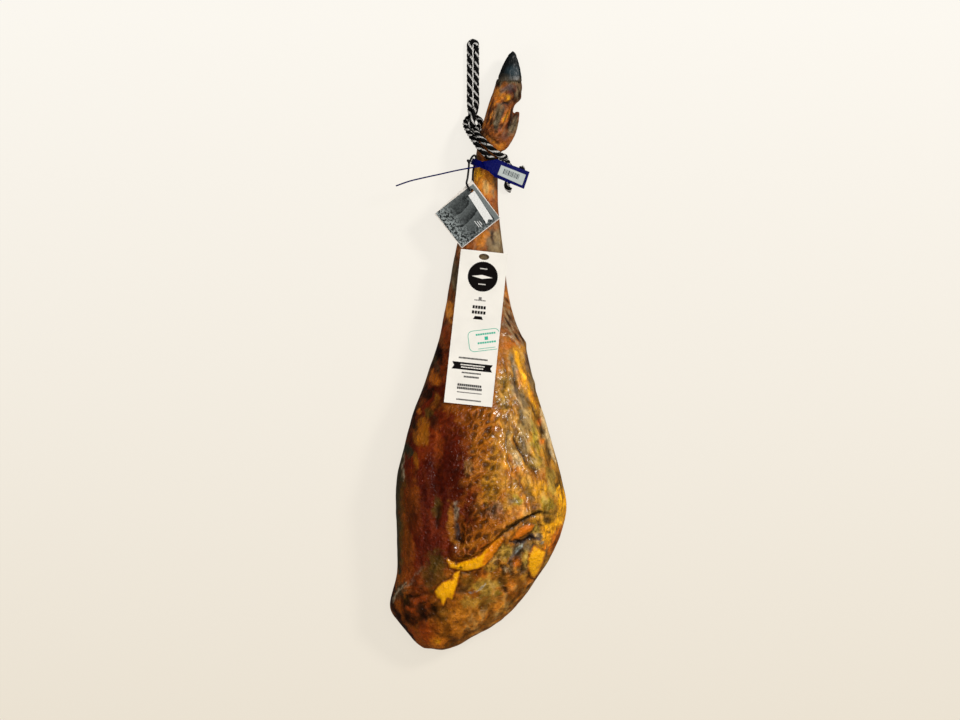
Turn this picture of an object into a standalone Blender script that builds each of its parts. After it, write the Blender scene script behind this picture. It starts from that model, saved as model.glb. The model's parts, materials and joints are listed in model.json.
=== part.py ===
"""A whole cured ham, lying down with its shown side up.

The leg lies along Y with the hoof at +Y. Two hoof claws close the foot. A doubled rope is hitched
round the ankle, and a plastic seal, a tag card on a string and a long paper label lie on the shank.
Lengths in the tables are millimetres and are turned into metres when a mesh is made.
"""
import math

import bmesh
import bpy
from mathutils import Matrix, Vector, noise

MM = 0.001

# Leg: one row for each place along it, from the butt to the foot.
# Columns: y, left edge, right edge, underside, upper side.
LEG_OUTLINE = (
    (-400, -73, -64, 26, 42),
    (-395, -82, -36, 14, 54),
    (-384, -92, -16, 4, 64),
    (-368, -105, 16, -1, 75),
    (-346, -119, 43, -3, 86),
    (-322, -115, 64, -3, 96),
    (-289, -109, 87, -3, 106),
    (-249, -110, 110, -3, 114),
    (-212, -111, 118, -3, 118),
    (-175, -110, 112, -3, 121),
    (-128, -99, 99, -3, 118),
    (-81, -86, 85, -3, 109),
    (-41, -70, 74, -2, 97),
    (5, -56, 63, 1, 82),
    (46, -46, 47, 5, 72),
    (80, -40, 39, 9, 65),
    (127, -32, 34, 12, 59),
    (167, -22, 29, 14, 55),
    (200, -12, 26, 15, 53),
    (232, -9, 26, 16, 51),
    (250, -5, 26, 16, 51),
    (262, -3, 29, 15, 52),
    (276, -1, 36, 12, 55),
    (294, 3, 43, 8, 58),
    (310, 8, 45, 6, 58),
    (328, 13, 47, 4, 56),
    (345, 19, 57, 3, 52),
    (357, 26, 58, 3, 48),
)
RING_ZONES = ((-400, -380, 5), (-380, 50, 48), (50, 357, 30))
RING_POINTS = 44
UPPER_ROUNDNESS = 2.25
LOWER_ROUNDNESS = 2.6
FLOOR = 0.0

# Large relief of the shown side: paths of (x, y), with half widths and heights.
LIP_PATH = ((-38, -262), (-27, -276), (-12, -281), (3, -274), (18, -259), (31, -249),
            (43, -237), (56, -228), (75, -218), (101, -220))
LIP_HEIGHT = 9
LIP_HALF_WIDTH = 9
LIP_REACH = 70
SEAM_PATH = ((-58, -60), (-58, -111), (-57, -199), (-55, -229), (-51, -280))
SLIT_PATH = ((37, -285), (52, -270), (71, -251))
FOLD_PATHS = (
    ((34, -20), (47, -113), (63, -158)),
    ((56, -165), (64, -203)),
    ((62, -40), (81, -90), (94, -143)),
)
HOLLOW_CENTRE = (-27, -243)
HOLLOW_RADII = (11, 26)
BULGE_CENTRE = (4, -185)
BULGE_RADII = (62, 95)
BULGE_HEIGHT = 4
LUMP_SIZE = 55
LUMP_HEIGHT = 2.2

# Dewclaws: rows of x, y and radius along each one, then the heights of the two.
DEWCLAW_ROWS = ((32, 266, 4), (35, 275, 8), (41, 288, 9.5), (45, 301, 8.8), (49, 311, 6.2), (52, 318.5, 2.2))
DEWCLAW_HEIGHTS = (39, 17)
DEWCLAW_FLATNESS = 0.8

# Hoof claws: rows of y, left, right, lower face and upper face of the upper claw.
CLAW_ROWS = (
    (357.4, 26, 58.5, 25.4, 47.5),
    (363, 26.5, 58, 25.2, 47.5),
    (370, 28.5, 57, 25.0, 45.5),
    (378, 32, 55.5, 25.0, 42),
    (388, 37, 53, 25.2, 37),
    (395, 41, 50.5, 25.8, 33),
    (399, 44.2, 48, 27, 30.5),
)
CLAW_TIP = (46, 400.5, 28.6)
LOWER_CLAW_SHIFT = (-3, -2.5)
CLAW_MIRROR_HEIGHT = 24.7

# Rope: a doubled loop, hitched through its own bight, with both ends knotted beside the ankle.
ROPE_DIAMETER = 8.2
ROPE_ROUTE = (
    (44, 213.5, 4.6), (40.3, 215.4, 5.0), (38.0, 220.5, 7.8), (40.2, 226, 12.0), (45.2, 230.2, 14.2),
    (49.2, 237.4, 9.6), (43.5, 243.8, 4.7), (38, 249.8, 4.6), (33, 255.5, 5.2), (27, 262, 5.8),
    (20.5, 269.5, 6.0), (13.5, 277, 6.4), (7.4, 284.4, 8.2), (1.2, 290.6, 12.2), (-4.4, 295.3, 16),
    (-7.6, 301, 20.5), (-8.2, 307, 22.6), (-6.6, 313.5, 21.8), (-4.4, 321, 17.6), (-3, 329.5, 10.4),
    (-3.1, 338, 5.2), (-3.1, 350, 4.4), (-3.1, 366, 4.4), (-3.1, 384, 4.4), (-3.1, 400, 4.4),
    (-3.15, 409, 4.4), (-4.4, 412, 4.4), (-7.45, 413.3, 4.4), (-10.5, 412, 4.4), (-11.75, 409, 4.4),
    (-11.8, 400, 4.4), (-11.8, 384, 4.4), (-11.8, 366, 4.4), (-11.8, 350, 4.4), (-11.8, 338, 4.5),
    (-11.6, 329.5, 6.0), (-10.9, 320.5, 10.1), (-9.5, 313, 13.3), (-8.6, 306, 13.4), (-8.2, 298.5, 9.4),
    (-5.6, 288.4, 5.8), (0, 278.8, 4.8), (6.3, 270, 4.9), (12.5, 262.6, 5.4), (18.2, 256.8, 6.8),
    (23.8, 252.6, 10.6), (28.4, 250.4, 19.3), (31.3, 250, 30), (31, 249.8, 40), (27.6, 250.6, 48.2),
    (21.7, 253, 53.8), (14.5, 257.5, 56.5), (8, 263, 57.2), (2, 269.5, 55.4), (-3.7, 277, 50),
    (-8.4, 284, 42), (-12.6, 291, 32.5), (-16, 297.6, 23), (-17.4, 303.5, 14), (-14.8, 309.3, 7),
    (-8, 312.8, 4.5), (-1.0, 310, 7), (3, 305.6, 12.6), (2.2, 301.6, 19.2), (-0.2, 297.6, 26.6),
    (-2.2, 294, 34.5), (-2.4, 290.4, 43), (0.3, 285.8, 51.8), (6, 279.8, 58.2), (12.4, 273.2, 60.9),
    (19.4, 267, 60.2), (26, 262.2, 56.6), (31.6, 259.2, 50), (34.9, 258.2, 41), (35.6, 257.6, 31),
    (36.4, 255.2, 22.4), (38.8, 250.4, 16.4), (40.6, 243.4, 13.9), (38.8, 235.6, 9.4), (45.0, 230.2, 4.4),
    (51.8, 230.2, 4.4), (57, 234, 4.5), (58.8, 240, 4.5), (57.4, 246.5, 4.5),
)

# Seal: a strap round the ankle, a flag with a window, and a thin tail.
SEAL_CENTRE = (10.7, 244.5, 38.2)
SEAL_TURN = math.radians(-22)
STRAP_HALF_WIDTH = 20.0
STRAP_HALF_HEIGHT = 23.6
STRAP_THICKNESS = 1.6
STRAP_BREADTH = 8.4
STRAP_ROUNDNESS = 2.5
STRAP_POINTS = 40
FLAG_OUTLINE = ((6, 251.4), (13, 252.6), (24.7, 254.6), (68.5, 237.7), (60.8, 214.9), (21.6, 230.7),
                (14, 238.6), (8, 243.4))
FLAG_WINDOW = ((30, 247.2), (63.9, 233.8), (58.6, 219.2), (25.1, 234.2))
FLAG_BOTTOM = 62.2
FLAG_THICKNESS = 2.6
FLAG_RECESS = 0.9
SEAL_TAIL = ((12, 246, 63.2), (3, 245.2, 63.6), (-11, 243, 63), (-31, 239.3, 61), (-51, 234.8, 58.5),
             (-71, 230.5, 56), (-92, 225.5, 53.5), (-110.6, 219.1, 51))
SEAL_TAIL_DIAMETER = 1.9
SEAL_LABEL_THICKNESS = 0.3
FACE_GAP = 0.3

# Tag card: its four corners as seen from above, and the slope at which it rests.
TAG_CORNERS = ((-59.4, 181.6), (-22.2, 135.7), (29.2, 175.7), (-8.7, 226.5))
TAG_SLOPE = math.tan(math.radians(12))
TAG_THICKNESS = 1.4
TAG_HOLE = (-9.4, 213.0)
TAG_HOLE_DIAMETER = 5

# String: from the bead, round the strap, through the tag's hole and back to the bead.
STRING_DIAMETER = 1.6
STRING_FINENESS = 3
BEAD_CENTRE = (-12.6, 252, 52)
BEAD_RADIUS = 2.8
STRING_ROUTE = (
    (-10.4, 254.6, 53.6), (-8.4, 258, 54.2), (-5.4, 260, 52.8), (-3.6, 257.5, 50.8), (-3.8, 252.5, 49.6),
    (-5.6, 246.6, 49.4), (-7.0, 240, 50.2), (-7.6, 232, 51.6), (-7.8, 224, 52.0), (-8.4, 217, 51.8),
    (-9.4, 213, 54.8), (-11.2, 213.4, 58.8), (-14.4, 218.4, 59.2), (-16, 223, 56.6), (-14.6, 230, 54),
    (-13.4, 240, 52.4), (-12.9, 246, 52), (-12.8, 249.0, 52),
)

# Label card: its corners as seen from above. It bends only along its length.
LABEL_CORNERS = ((-23.4, 134.7), (39.5, 128.0), (18.1, -77.1), (-46.2, -70.4))
LABEL_THICKNESS = 0.8
LABEL_ROWS = 30
LABEL_COLUMNS = 2
LABEL_CLEARANCE = 1.5
LABEL_HOLE = (7.4, 124.0)
LABEL_HOLE_SIZE = (14, 8.4)

SEGMENTS = 24


def clear_scene():
    for item in list(bpy.data.objects):
        bpy.data.objects.remove(item, do_unlink=True)


def make_material(name, colour, roughness, metallic=0.0):
    material = bpy.data.materials.new(name)
    material.use_nodes = True
    shader = material.node_tree.nodes["Principled BSDF"]
    shader.inputs["Base Color"].default_value = (*colour, 1.0)
    shader.inputs["Roughness"].default_value = roughness
    shader.inputs["Metallic"].default_value = metallic
    return material


def add_object(name, data, material):
    item = bpy.data.objects.new(name, data)
    bpy.context.scene.collection.objects.link(item)
    data.materials.clear()
    data.materials.append(material)
    return item


def mesh_from(name, points, faces):
    """A mesh from points in millimetres, its faces turned outwards."""
    mesh = bpy.data.meshes.new(name)
    mesh.from_pydata([tuple(value * MM for value in point) for point in points], [], faces)
    shell = bmesh.new()
    shell.from_mesh(mesh)
    bmesh.ops.recalc_face_normals(shell, faces=shell.faces)
    shell.to_mesh(mesh)
    shell.free()
    return mesh


def shade_smooth(mesh, angle=math.radians(40)):
    mesh.shade_smooth()
    mesh.set_sharp_from_angle(angle=angle)


def joined(base, others, operation="UNION"):
    """The base with the other objects joined to it or cut from it; the others are removed."""
    group = bpy.data.collections.new(base.name + "_others")
    for other in others:
        group.objects.link(other)
    change = base.modifiers.new("joined", "BOOLEAN")
    change.operation = operation
    change.operand_type = "COLLECTION"
    change.collection = group
    change.solver = "EXACT"
    bpy.context.view_layer.update()
    evaluated = base.evaluated_get(bpy.context.evaluated_depsgraph_get())
    result = bpy.data.meshes.new_from_object(evaluated)
    base.modifiers.clear()
    base.data = result
    for other in others:
        bpy.data.objects.remove(other, do_unlink=True)
    bpy.data.collections.remove(group)
    return base


def slopes_through(places, values):
    """Slopes of a curve that rises and falls only where its points do."""
    steps = [(values[i + 1] - values[i]) / (places[i + 1] - places[i]) for i in range(len(places) - 1)]
    slopes = [steps[0]]
    for before, after in zip(steps, steps[1:]):
        slopes.append(0.0 if before * after <= 0 else 2 * before * after / (before + after))
    slopes.append(steps[-1])
    return slopes


def curve_value(places, values, slopes, place):
    """Height of the smooth curve through the points, at one place."""
    place = min(max(place, places[0]), places[-1])
    index = 0
    while index < len(places) - 2 and place > places[index + 1]:
        index += 1
    span = places[index + 1] - places[index]
    t = (place - places[index]) / span
    return ((1 + 2 * t) * (1 - t) ** 2 * values[index] + t * (1 - t) ** 2 * span * slopes[index]
            + t * t * (3 - 2 * t) * values[index + 1] - t * t * (1 - t) * span * slopes[index + 1])


LEG_PLACES = [row[0] for row in LEG_OUTLINE]
LEG_CURVES = []
for column in range(1, 5):
    column_values = [row[column] for row in LEG_OUTLINE]
    LEG_CURVES.append((column_values, slopes_through(LEG_PLACES, column_values)))


def leg_section(y):
    """Left edge, right edge, underside and upper side of the leg at one place along it."""
    return [curve_value(LEG_PLACES, values, slopes, y) for values, slopes in LEG_CURVES]


def section_point(section, angle):
    """A point of the leg's outline across Y, at an angle from +X."""
    left, right, lower, upper = section
    roundness = UPPER_ROUNDNESS if math.sin(angle) >= 0 else LOWER_ROUNDNESS
    across = math.copysign(abs(math.cos(angle)) ** (2 / roundness), math.cos(angle))
    up = math.copysign(abs(math.sin(angle)) ** (2 / roundness), math.sin(angle))
    x = (left + right) / 2 + across * (right - left) / 2
    z = (lower + upper) / 2 + up * (upper - lower) / 2
    return x, z


def leg_top(x, y):
    """Height of the leg's upper side, without its relief."""
    left, right, lower, upper = leg_section(y)
    share = min(abs(x - (left + right) / 2) / ((right - left) / 2), 1.0)
    rise = (1 - share ** UPPER_ROUNDNESS) ** (1 / UPPER_ROUNDNESS)
    return (lower + upper) / 2 + rise * (upper - lower) / 2


def smooth_step(low, high, value):
    t = min(max((value - low) / (high - low), 0.0), 1.0)
    return t * t * (3 - 2 * t)


def path_distance(x, y, path):
    """Distance to a path, positive on its left, and how far along the path the nearest point is."""
    place = Vector((x, y))
    best = (1e9, 0.0)
    for index in range(len(path) - 1):
        start = Vector(path[index])
        run = Vector(path[index + 1]) - start
        share = min(max((place - start).dot(run) / run.length_squared, 0.0), 1.0)
        away = place - (start + run * share)
        if away.length < abs(best[0]):
            side = run.x * away.y - run.y * away.x
            best = (math.copysign(away.length, side), (index + share) / (len(path) - 1))
    return best


def groove(x, y, path, half_width, depth):
    distance, along = path_distance(x, y, path)
    ends = smooth_step(0.0, 0.12, along) * smooth_step(1.0, 0.88, along)
    return -depth * ends * math.exp(-(distance / half_width) ** 2)


def mound(x, y, centre, radii, height):
    reach = ((x - centre[0]) / radii[0]) ** 2 + ((y - centre[1]) / radii[1]) ** 2
    return height * math.exp(-reach)


def upper_relief(x, y):
    """Height added to the leg's shown side: the hanging lip, seams, folds and hollows."""
    distance, along = path_distance(x, y, LIP_PATH)
    ends = smooth_step(0.0, 0.15, along) * smooth_step(1.0, 0.8, along)
    rise = smooth_step(-LIP_HALF_WIDTH, LIP_HALF_WIDTH, distance)
    height = LIP_HEIGHT * ends * (rise - 0.4) * math.exp(-(distance / LIP_REACH) ** 2)
    height += mound(x, y, BULGE_CENTRE, BULGE_RADII, BULGE_HEIGHT)
    height += mound(x, y, HOLLOW_CENTRE, HOLLOW_RADII, -6)
    height += groove(x, y, SEAM_PATH, 12, 4)
    height += groove(x, y, SLIT_PATH, 10, 5)
    for path in FOLD_PATHS:
        height += groove(x, y, path, 9, 2.5)
    return height


def lump_height(x, y, z):
    """Gentle unevenness of the wide end; the shank, which carries the cards, is plain."""
    return noise.noise(Vector((x, y, z)) / LUMP_SIZE) * LUMP_HEIGHT * smooth_step(60, -60, y)


def leg_surface_point(section, y, angle):
    """A point of the leg's surface with its relief; the underside is flat where it meets the floor."""
    x, z = section_point(section, angle)
    facing_up = smooth_step(0.1, 0.8, math.sin(angle))
    side = smooth_step(-0.9, -0.3, math.sin(angle))
    lump = lump_height(x, y, z)
    x += lump * math.cos(angle) * side
    z += (upper_relief(x, y) + lump) * facing_up
    return x, y, max(z, FLOOR)


def shown_height(x, y):
    """Height of the leg's upper side with its relief."""
    height = leg_top(x, y)
    return height + max(upper_relief(x, y) + lump_height(x, y, height), 0.0)


def ring_places():
    places = []
    for start, end, count in RING_ZONES:
        places += [start + (end - start) * step / count for step in range(count)]
    places.append(RING_ZONES[-1][1])
    return places


def loft(rings, start_tip=None, end_tip=None):
    """A closed skin over rings of equal size. Each end closes on a tip, or on its ring's middle."""
    size = len(rings[0])
    points = [point for ring in rings for point in ring]
    faces = []
    for row in range(len(rings) - 1):
        for step in range(size):
            after = (step + 1) % size
            faces.append((row * size + step, row * size + after,
                          (row + 1) * size + after, (row + 1) * size + step))
    for first, ring, tip in ((0, rings[0], start_tip), (len(points) - size, rings[-1], end_tip)):
        if tip is None:
            tip = tuple(sum(point[axis] for point in ring) / size for axis in range(3))
        points.append(tip)
        for step in range(size):
            faces.append((first + step, first + (step + 1) % size, len(points) - 1))
    return points, faces


def make_dewclaw(height, material):
    rings = []
    for x, y, radius in DEWCLAW_ROWS:
        ring = []
        for step in range(10):
            angle = step * math.tau / 10
            ring.append((x + radius * math.cos(angle), y, height + radius * DEWCLAW_FLATNESS * math.sin(angle)))
        rings.append(ring)
    return add_object("dewclaw", mesh_from("dewclaw", *loft(rings)), material)


def make_ham(material):
    rings = []
    for y in ring_places():
        section = leg_section(y)
        angles = [(step + 0.5) * math.tau / RING_POINTS for step in range(RING_POINTS)]
        rings.append([leg_surface_point(section, y, angle) for angle in angles])
    ham = add_object("ham", mesh_from("ham", *loft(rings)), material)
    joined(ham, [make_dewclaw(height, material) for height in DEWCLAW_HEIGHTS])
    shade_smooth(ham.data)
    return ham


def make_claw(name, material, lower):
    """One hoof claw; the lower one is the upper one mirrored, a little shorter and to the left."""
    shift_x, shift_y = LOWER_CLAW_SHIFT if lower else (0, 0)
    start_y = CLAW_ROWS[0][0]
    length = CLAW_TIP[1] - start_y

    def placed(x, y, z):
        share = (y - start_y) / length
        height = 2 * CLAW_MIRROR_HEIGHT - z if lower else z
        return x + shift_x * share, y + shift_y * share, height

    rings = []
    for y, left, right, inner, outer in CLAW_ROWS:
        ring = []
        for step in range(SEGMENTS):
            angle = step * math.tau / SEGMENTS
            across = math.copysign(abs(math.cos(angle)) ** 0.85, math.cos(angle))
            up = math.copysign(abs(math.sin(angle)) ** 0.85, math.sin(angle))
            x = (left + right) / 2 + across * (right - left) / 2
            z = (inner + outer) / 2 + up * (outer - inner) / 2
            ring.append(placed(x, y, z))
        rings.append(ring)
    mesh = mesh_from(name, *loft(rings, end_tip=placed(*CLAW_TIP)))
    shade_smooth(mesh)
    return add_object(name, mesh, material)


def smooth_route(points, fineness):
    """Points of a smooth curve through the route's own points, which it includes."""
    route = [Vector(point) for point in points]
    route = [2 * route[0] - route[1]] + route + [2 * route[-1] - route[-2]]
    result = []
    for index in range(1, len(route) - 2):
        before, start, end, after = route[index - 1:index + 3]
        for step in range(fineness):
            t = step / fineness
            result.append(0.5 * (2 * start + (end - before) * t
                                 + (2 * before - 5 * start + 4 * end - after) * t * t
                                 + (3 * start - before - 3 * end + after) * t ** 3))
    result.append(route[-2])
    return result


def make_tube(name, points, diameter, material):
    curve = bpy.data.curves.new(name, "CURVE")
    curve.dimensions = "3D"
    curve.bevel_depth = diameter / 2 * MM
    curve.bevel_resolution = 2
    curve.use_fill_caps = True
    spline = curve.splines.new("POLY")
    spline.points.add(len(points) - 1)
    for place, point in zip(spline.points, points):
        place.co = (*(Vector(point) * MM), 1.0)
    return add_object(name, curve, material)


def tube_mesh(name, points, diameter, material):
    """The same tube as a mesh, to be joined to another solid."""
    tube = make_tube(name, points, diameter, material)
    bpy.context.view_layer.update()
    mesh = bpy.data.meshes.new_from_object(tube.evaluated_get(bpy.context.evaluated_depsgraph_get()))
    curve = tube.data
    bpy.data.objects.remove(tube, do_unlink=True)
    bpy.data.curves.remove(curve)
    return add_object(name, mesh, material)


def make_plate(name, outline, bottom, thickness, material):
    """A flat plate from an outline seen from above."""
    size = len(outline)
    points = [(x, y, bottom) for x, y in outline] + [(x, y, bottom + thickness) for x, y in outline]
    faces = [tuple(range(size)), tuple(range(size, 2 * size))]
    for step in range(size):
        after = (step + 1) % size
        faces.append((step, after, size + after, size + step))
    return add_object(name, mesh_from(name, points, faces), material)


def make_strap(material):
    """The seal's band: a closed ring round the ankle."""
    points = []
    along = Vector((math.cos(SEAL_TURN), math.sin(SEAL_TURN), 0))
    breadth = Vector((-math.sin(SEAL_TURN), math.cos(SEAL_TURN), 0)) * STRAP_BREADTH / 2
    for step in range(STRAP_POINTS):
        angle = step * math.tau / STRAP_POINTS
        across = math.copysign(abs(math.cos(angle)) ** (2 / STRAP_ROUNDNESS), math.cos(angle))
        up = math.copysign(abs(math.sin(angle)) ** (2 / STRAP_ROUNDNESS), math.sin(angle))
        for growth in (0, STRAP_THICKNESS):
            middle = Vector(SEAL_CENTRE) + along * across * (STRAP_HALF_WIDTH + growth)
            middle.z += up * (STRAP_HALF_HEIGHT + growth)
            points += [middle - breadth, middle + breadth]
    faces = []
    for step in range(STRAP_POINTS):
        here = step * 4
        there = (step + 1) % STRAP_POINTS * 4
        for first, second in ((0, 1), (1, 3), (3, 2), (2, 0)):
            faces.append((here + first, there + first, there + second, here + second))
    return add_object("seal", mesh_from("seal", points, faces), material)


def make_seal(material, label_material):
    strap = make_strap(material)
    flag = make_plate("flag", FLAG_OUTLINE, FLAG_BOTTOM, FLAG_THICKNESS, material)
    recess_bottom = FLAG_BOTTOM + FLAG_THICKNESS - FLAG_RECESS
    recess = make_plate("recess", FLAG_WINDOW, recess_bottom, FLAG_RECESS * 2, material)
    joined(flag, [recess], "DIFFERENCE")
    tail = tube_mesh("tail", smooth_route(SEAL_TAIL, 4), SEAL_TAIL_DIAMETER, material)
    joined(strap, [flag, tail])
    middle = Vector((sum(x for x, y in FLAG_WINDOW), sum(y for x, y in FLAG_WINDOW))) / len(FLAG_WINDOW)
    inset = [middle + (Vector(corner) - middle) * 0.975 for corner in FLAG_WINDOW]
    label_bottom = recess_bottom + FACE_GAP
    make_plate("seal_label", inset, label_bottom, SEAL_LABEL_THICKNESS, label_material)


def cutter(name, centre, size, bottom, top, turn, material):
    """An upright oval post that cuts a hole in a card."""
    outline = []
    for step in range(SEGMENTS):
        angle = step * math.tau / SEGMENTS
        point = Matrix.Rotation(turn, 2) @ Vector((math.cos(angle) * size[0] / 2, math.sin(angle) * size[1] / 2))
        outline.append((centre[0] + point.x, centre[1] + point.y))
    return make_plate(name, outline, bottom, top - bottom, material)


def card_grid(corners, columns, rows):
    """Rows of points on a four-cornered card, from its first edge to its last."""
    first, second, third, fourth = [Vector(corner) for corner in corners]
    grid = []
    for row in range(rows + 1):
        start = first.lerp(fourth, row / rows)
        end = second.lerp(third, row / rows)
        grid.append([start.lerp(end, column / columns) for column in range(columns + 1)])
    return grid


def make_card(name, grid, heights, thickness, material):
    """A card from a grid of places and the height of its lower face at each."""
    columns = len(grid[0])
    points = []
    for level in (0, thickness):
        for row, row_heights in zip(grid, heights):
            points += [(place.x, place.y, height + level) for place, height in zip(row, row_heights)]
    layer = len(points) // 2
    faces = []
    for row in range(len(grid) - 1):
        for column in range(columns - 1):
            first = row * columns + column
            low = (first, first + 1, first + columns + 1, first + columns)
            faces.append((low[0], low[1], low[2]))
            faces.append((low[0], low[2], low[3]))
            faces.append(tuple(layer + corner for corner in (low[0], low[1], low[2])))
            faces.append(tuple(layer + corner for corner in (low[0], low[2], low[3])))
    border = [column for column in range(columns)]
    border += [row * columns + columns - 1 for row in range(1, len(grid))]
    border += [(len(grid) - 1) * columns + column for column in range(columns - 2, -1, -1)]
    border += [row * columns for row in range(len(grid) - 2, 0, -1)]
    for step in range(len(border)):
        here = border[step]
        there = border[(step + 1) % len(border)]
        faces.append((here, there, layer + there, layer + here))
    return add_object(name, mesh_from(name, points, faces), material)


def make_tag_card(material):
    """The square tag, tipped towards its left corner and resting on the shank."""
    trial = card_grid(TAG_CORNERS, 12, 12)
    lift = max(leg_top(place.x, place.y) - place.x * TAG_SLOPE for row in trial for place in row
               if leg_section(place.y)[0] < place.x < leg_section(place.y)[1])
    grid = card_grid(TAG_CORNERS, 1, 1)
    heights = [[lift + FACE_GAP * 2 + place.x * TAG_SLOPE for place in row] for row in grid]
    card = make_card("tag_card", grid, heights, TAG_THICKNESS, material)
    hole = cutter("hole", TAG_HOLE, (TAG_HOLE_DIAMETER, TAG_HOLE_DIAMETER), 30, 80, 0, material)
    return joined(card, [hole], "DIFFERENCE")


def make_label_card(material):
    """The long label, straight across its width and following the leg along its length."""
    fine = card_grid(LABEL_CORNERS, 8, LABEL_ROWS)
    row_heights = []
    for row in fine:
        row_heights.append(max(shown_height(place.x, place.y) for place in row))
    clear = []
    for index in range(len(row_heights)):
        near = row_heights[max(index - 1, 0):index + 2]
        clear.append(sum(near) / len(near) + LABEL_CLEARANCE)
    grid = card_grid(LABEL_CORNERS, LABEL_COLUMNS, LABEL_ROWS)
    heights = [[height] * (LABEL_COLUMNS + 1) for height in clear]
    card = make_card("label_card", grid, heights, LABEL_THICKNESS, material)
    edge = Vector(LABEL_CORNERS[1]) - Vector(LABEL_CORNERS[0])
    turn = math.atan2(edge.y, edge.x)
    hole = cutter("hole", LABEL_HOLE, LABEL_HOLE_SIZE, 30, 90, turn, material)
    return joined(card, [hole], "DIFFERENCE")


def make_bead(material):
    ball = bmesh.new()
    bmesh.ops.create_icosphere(ball, subdivisions=2, radius=BEAD_RADIUS * MM,
                               matrix=Matrix.Translation(Vector(BEAD_CENTRE) * MM))
    mesh = bpy.data.meshes.new("string_knot")
    ball.to_mesh(mesh)
    ball.free()
    mesh.shade_smooth()
    return add_object("string_knot", mesh, material)


def main():
    clear_scene()
    make_ham(make_material("cured_meat", (0.28, 0.09, 0.02), 0.35))
    horn = make_material("hoof_horn", (0.035, 0.05, 0.06), 0.4)
    make_claw("hoof_claw_upper", horn, lower=False)
    make_claw("hoof_claw_lower", horn, lower=True)
    rope = make_material("rope", (0.3, 0.3, 0.3), 0.9)
    make_tube("rope", ROPE_ROUTE, ROPE_DIAMETER, rope)
    seal_label = make_material("seal_label", (0.72, 0.74, 0.68), 0.5)
    make_seal(make_material("seal_plastic", (0.01, 0.01, 0.22), 0.35), seal_label)
    string = make_material("black_string", (0.01, 0.01, 0.01), 0.8)
    make_tube("string", smooth_route(STRING_ROUTE, STRING_FINENESS), STRING_DIAMETER, string)
    make_bead(string)
    make_tag_card(make_material("tag_card", (0.2, 0.22, 0.21), 0.5))
    make_label_card(make_material("label_card", (0.85, 0.84, 0.8), 0.6))


main()
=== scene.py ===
"""The looks of a whole cured ham: skin, meat, fat and hoof, its rope, seal, string, tag and label."""
import json
import math

import bmesh
import bpy
import numpy as np
from mathutils import Matrix, Vector, noise

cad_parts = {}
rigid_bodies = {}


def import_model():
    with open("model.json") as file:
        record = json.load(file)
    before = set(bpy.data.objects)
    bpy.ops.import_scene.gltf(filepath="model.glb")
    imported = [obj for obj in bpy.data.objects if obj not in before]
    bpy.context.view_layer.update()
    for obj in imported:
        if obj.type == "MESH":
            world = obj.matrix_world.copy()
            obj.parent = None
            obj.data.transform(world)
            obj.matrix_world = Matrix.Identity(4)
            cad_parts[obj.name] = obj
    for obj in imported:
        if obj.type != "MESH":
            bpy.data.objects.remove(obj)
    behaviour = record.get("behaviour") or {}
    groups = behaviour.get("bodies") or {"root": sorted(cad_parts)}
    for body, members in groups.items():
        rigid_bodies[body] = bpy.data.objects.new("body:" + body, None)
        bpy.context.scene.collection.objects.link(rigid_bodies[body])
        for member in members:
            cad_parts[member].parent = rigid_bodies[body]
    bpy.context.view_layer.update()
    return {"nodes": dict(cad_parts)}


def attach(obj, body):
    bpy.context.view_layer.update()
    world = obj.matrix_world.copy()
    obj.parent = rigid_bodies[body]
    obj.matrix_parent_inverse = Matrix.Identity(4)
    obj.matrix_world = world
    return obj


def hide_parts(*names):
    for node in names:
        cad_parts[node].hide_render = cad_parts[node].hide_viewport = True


bl_info = {
    "name": "Cured ham",
    "version": (1, 0, 0),
    "blender": (4, 5, 0),
    "location": "View3D > Sidebar > Cured ham",
    "description": "Makes a whole cured ham with its rope, seal, tag and label",
    "category": "Object",
}

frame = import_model()
BODY = "root"
MM = 0.001

# The leg's mesh: its grid in millimetres, how often it is smoothed, and the height in millimetres under
# which its flat underside stays as it is
LEG_VOXEL = 1.92
LEG_SMOOTHING = 6
REST_HEIGHT = 0.8
# The collar of skin round the hoof's root: where it swells and where it reaches on, and how ragged it is
COLLAR_START = (343, 353)
COLLAR_SWELL = 1.5
COLLAR_END = (350, 356.5)
COLLAR_REACH = 5.0
COLLAR_RAGGED = 7.0
# The mesh's colour layers: crests, grooves as a darker copy for painted shade, and gloss with wrinkles and
# folds as red, green and blue
TONE = "tone"
GROOVE_TONE = "groove_tone"
FINISH = "finish"
# How dark the painted shade of the grooves between wrinkles is, for red, green and blue
GROOVE_SHADE = (0.7, 0.62, 0.46)

# Relief of the shown side, as paths of (x, y) in millimetres
LIP_PATH = ((-31, -240), (-37, -256), (-40, -269), (-36, -279), (-26, -283), (-12, -280.5), (1, -273),
            (16, -263), (25, -253), (41, -239), (55, -230), (71, -221), (86, -219), (101, -219))
SEAM_PATH = ((-57, -95), (-55, -130), (-57, -170), (-56, -210), (-58, -240))
SKIN_EDGE = ((31, 20), (41, 20), (52, 10), (57, -4), (61, -28), (72, -55), (82, -90))
HOLLOW_RIM = ((-37, -204), (-29, -208), (-25, -222), (-26, -236))

# The lip's roll and the groove under it: height, distance from the path and reach, in millimetres
LIP_ROLLS = ((3.4, 6.0, 5.0), (-4.4, -1.6, 2.8))

# Ellipses of relief: x, y, radii, turn in degrees
HOLLOW = (-28, -248, 9, 19, 0)
KNUCKLE = (84, -259, 4.5, 3.2, -40)
BUTT = (-78, -345, 34, 40, -30)

# Where along the leg its parts begin and where they are full, in millimetres
RELIEF_BODY = (20, -60)
PAINT_BODY = (35, -15)
LOBE = (-285, -310)
SHANK = (-20, 60)
LIMB = (10, 60)
FOOT = (255, 275)
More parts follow.
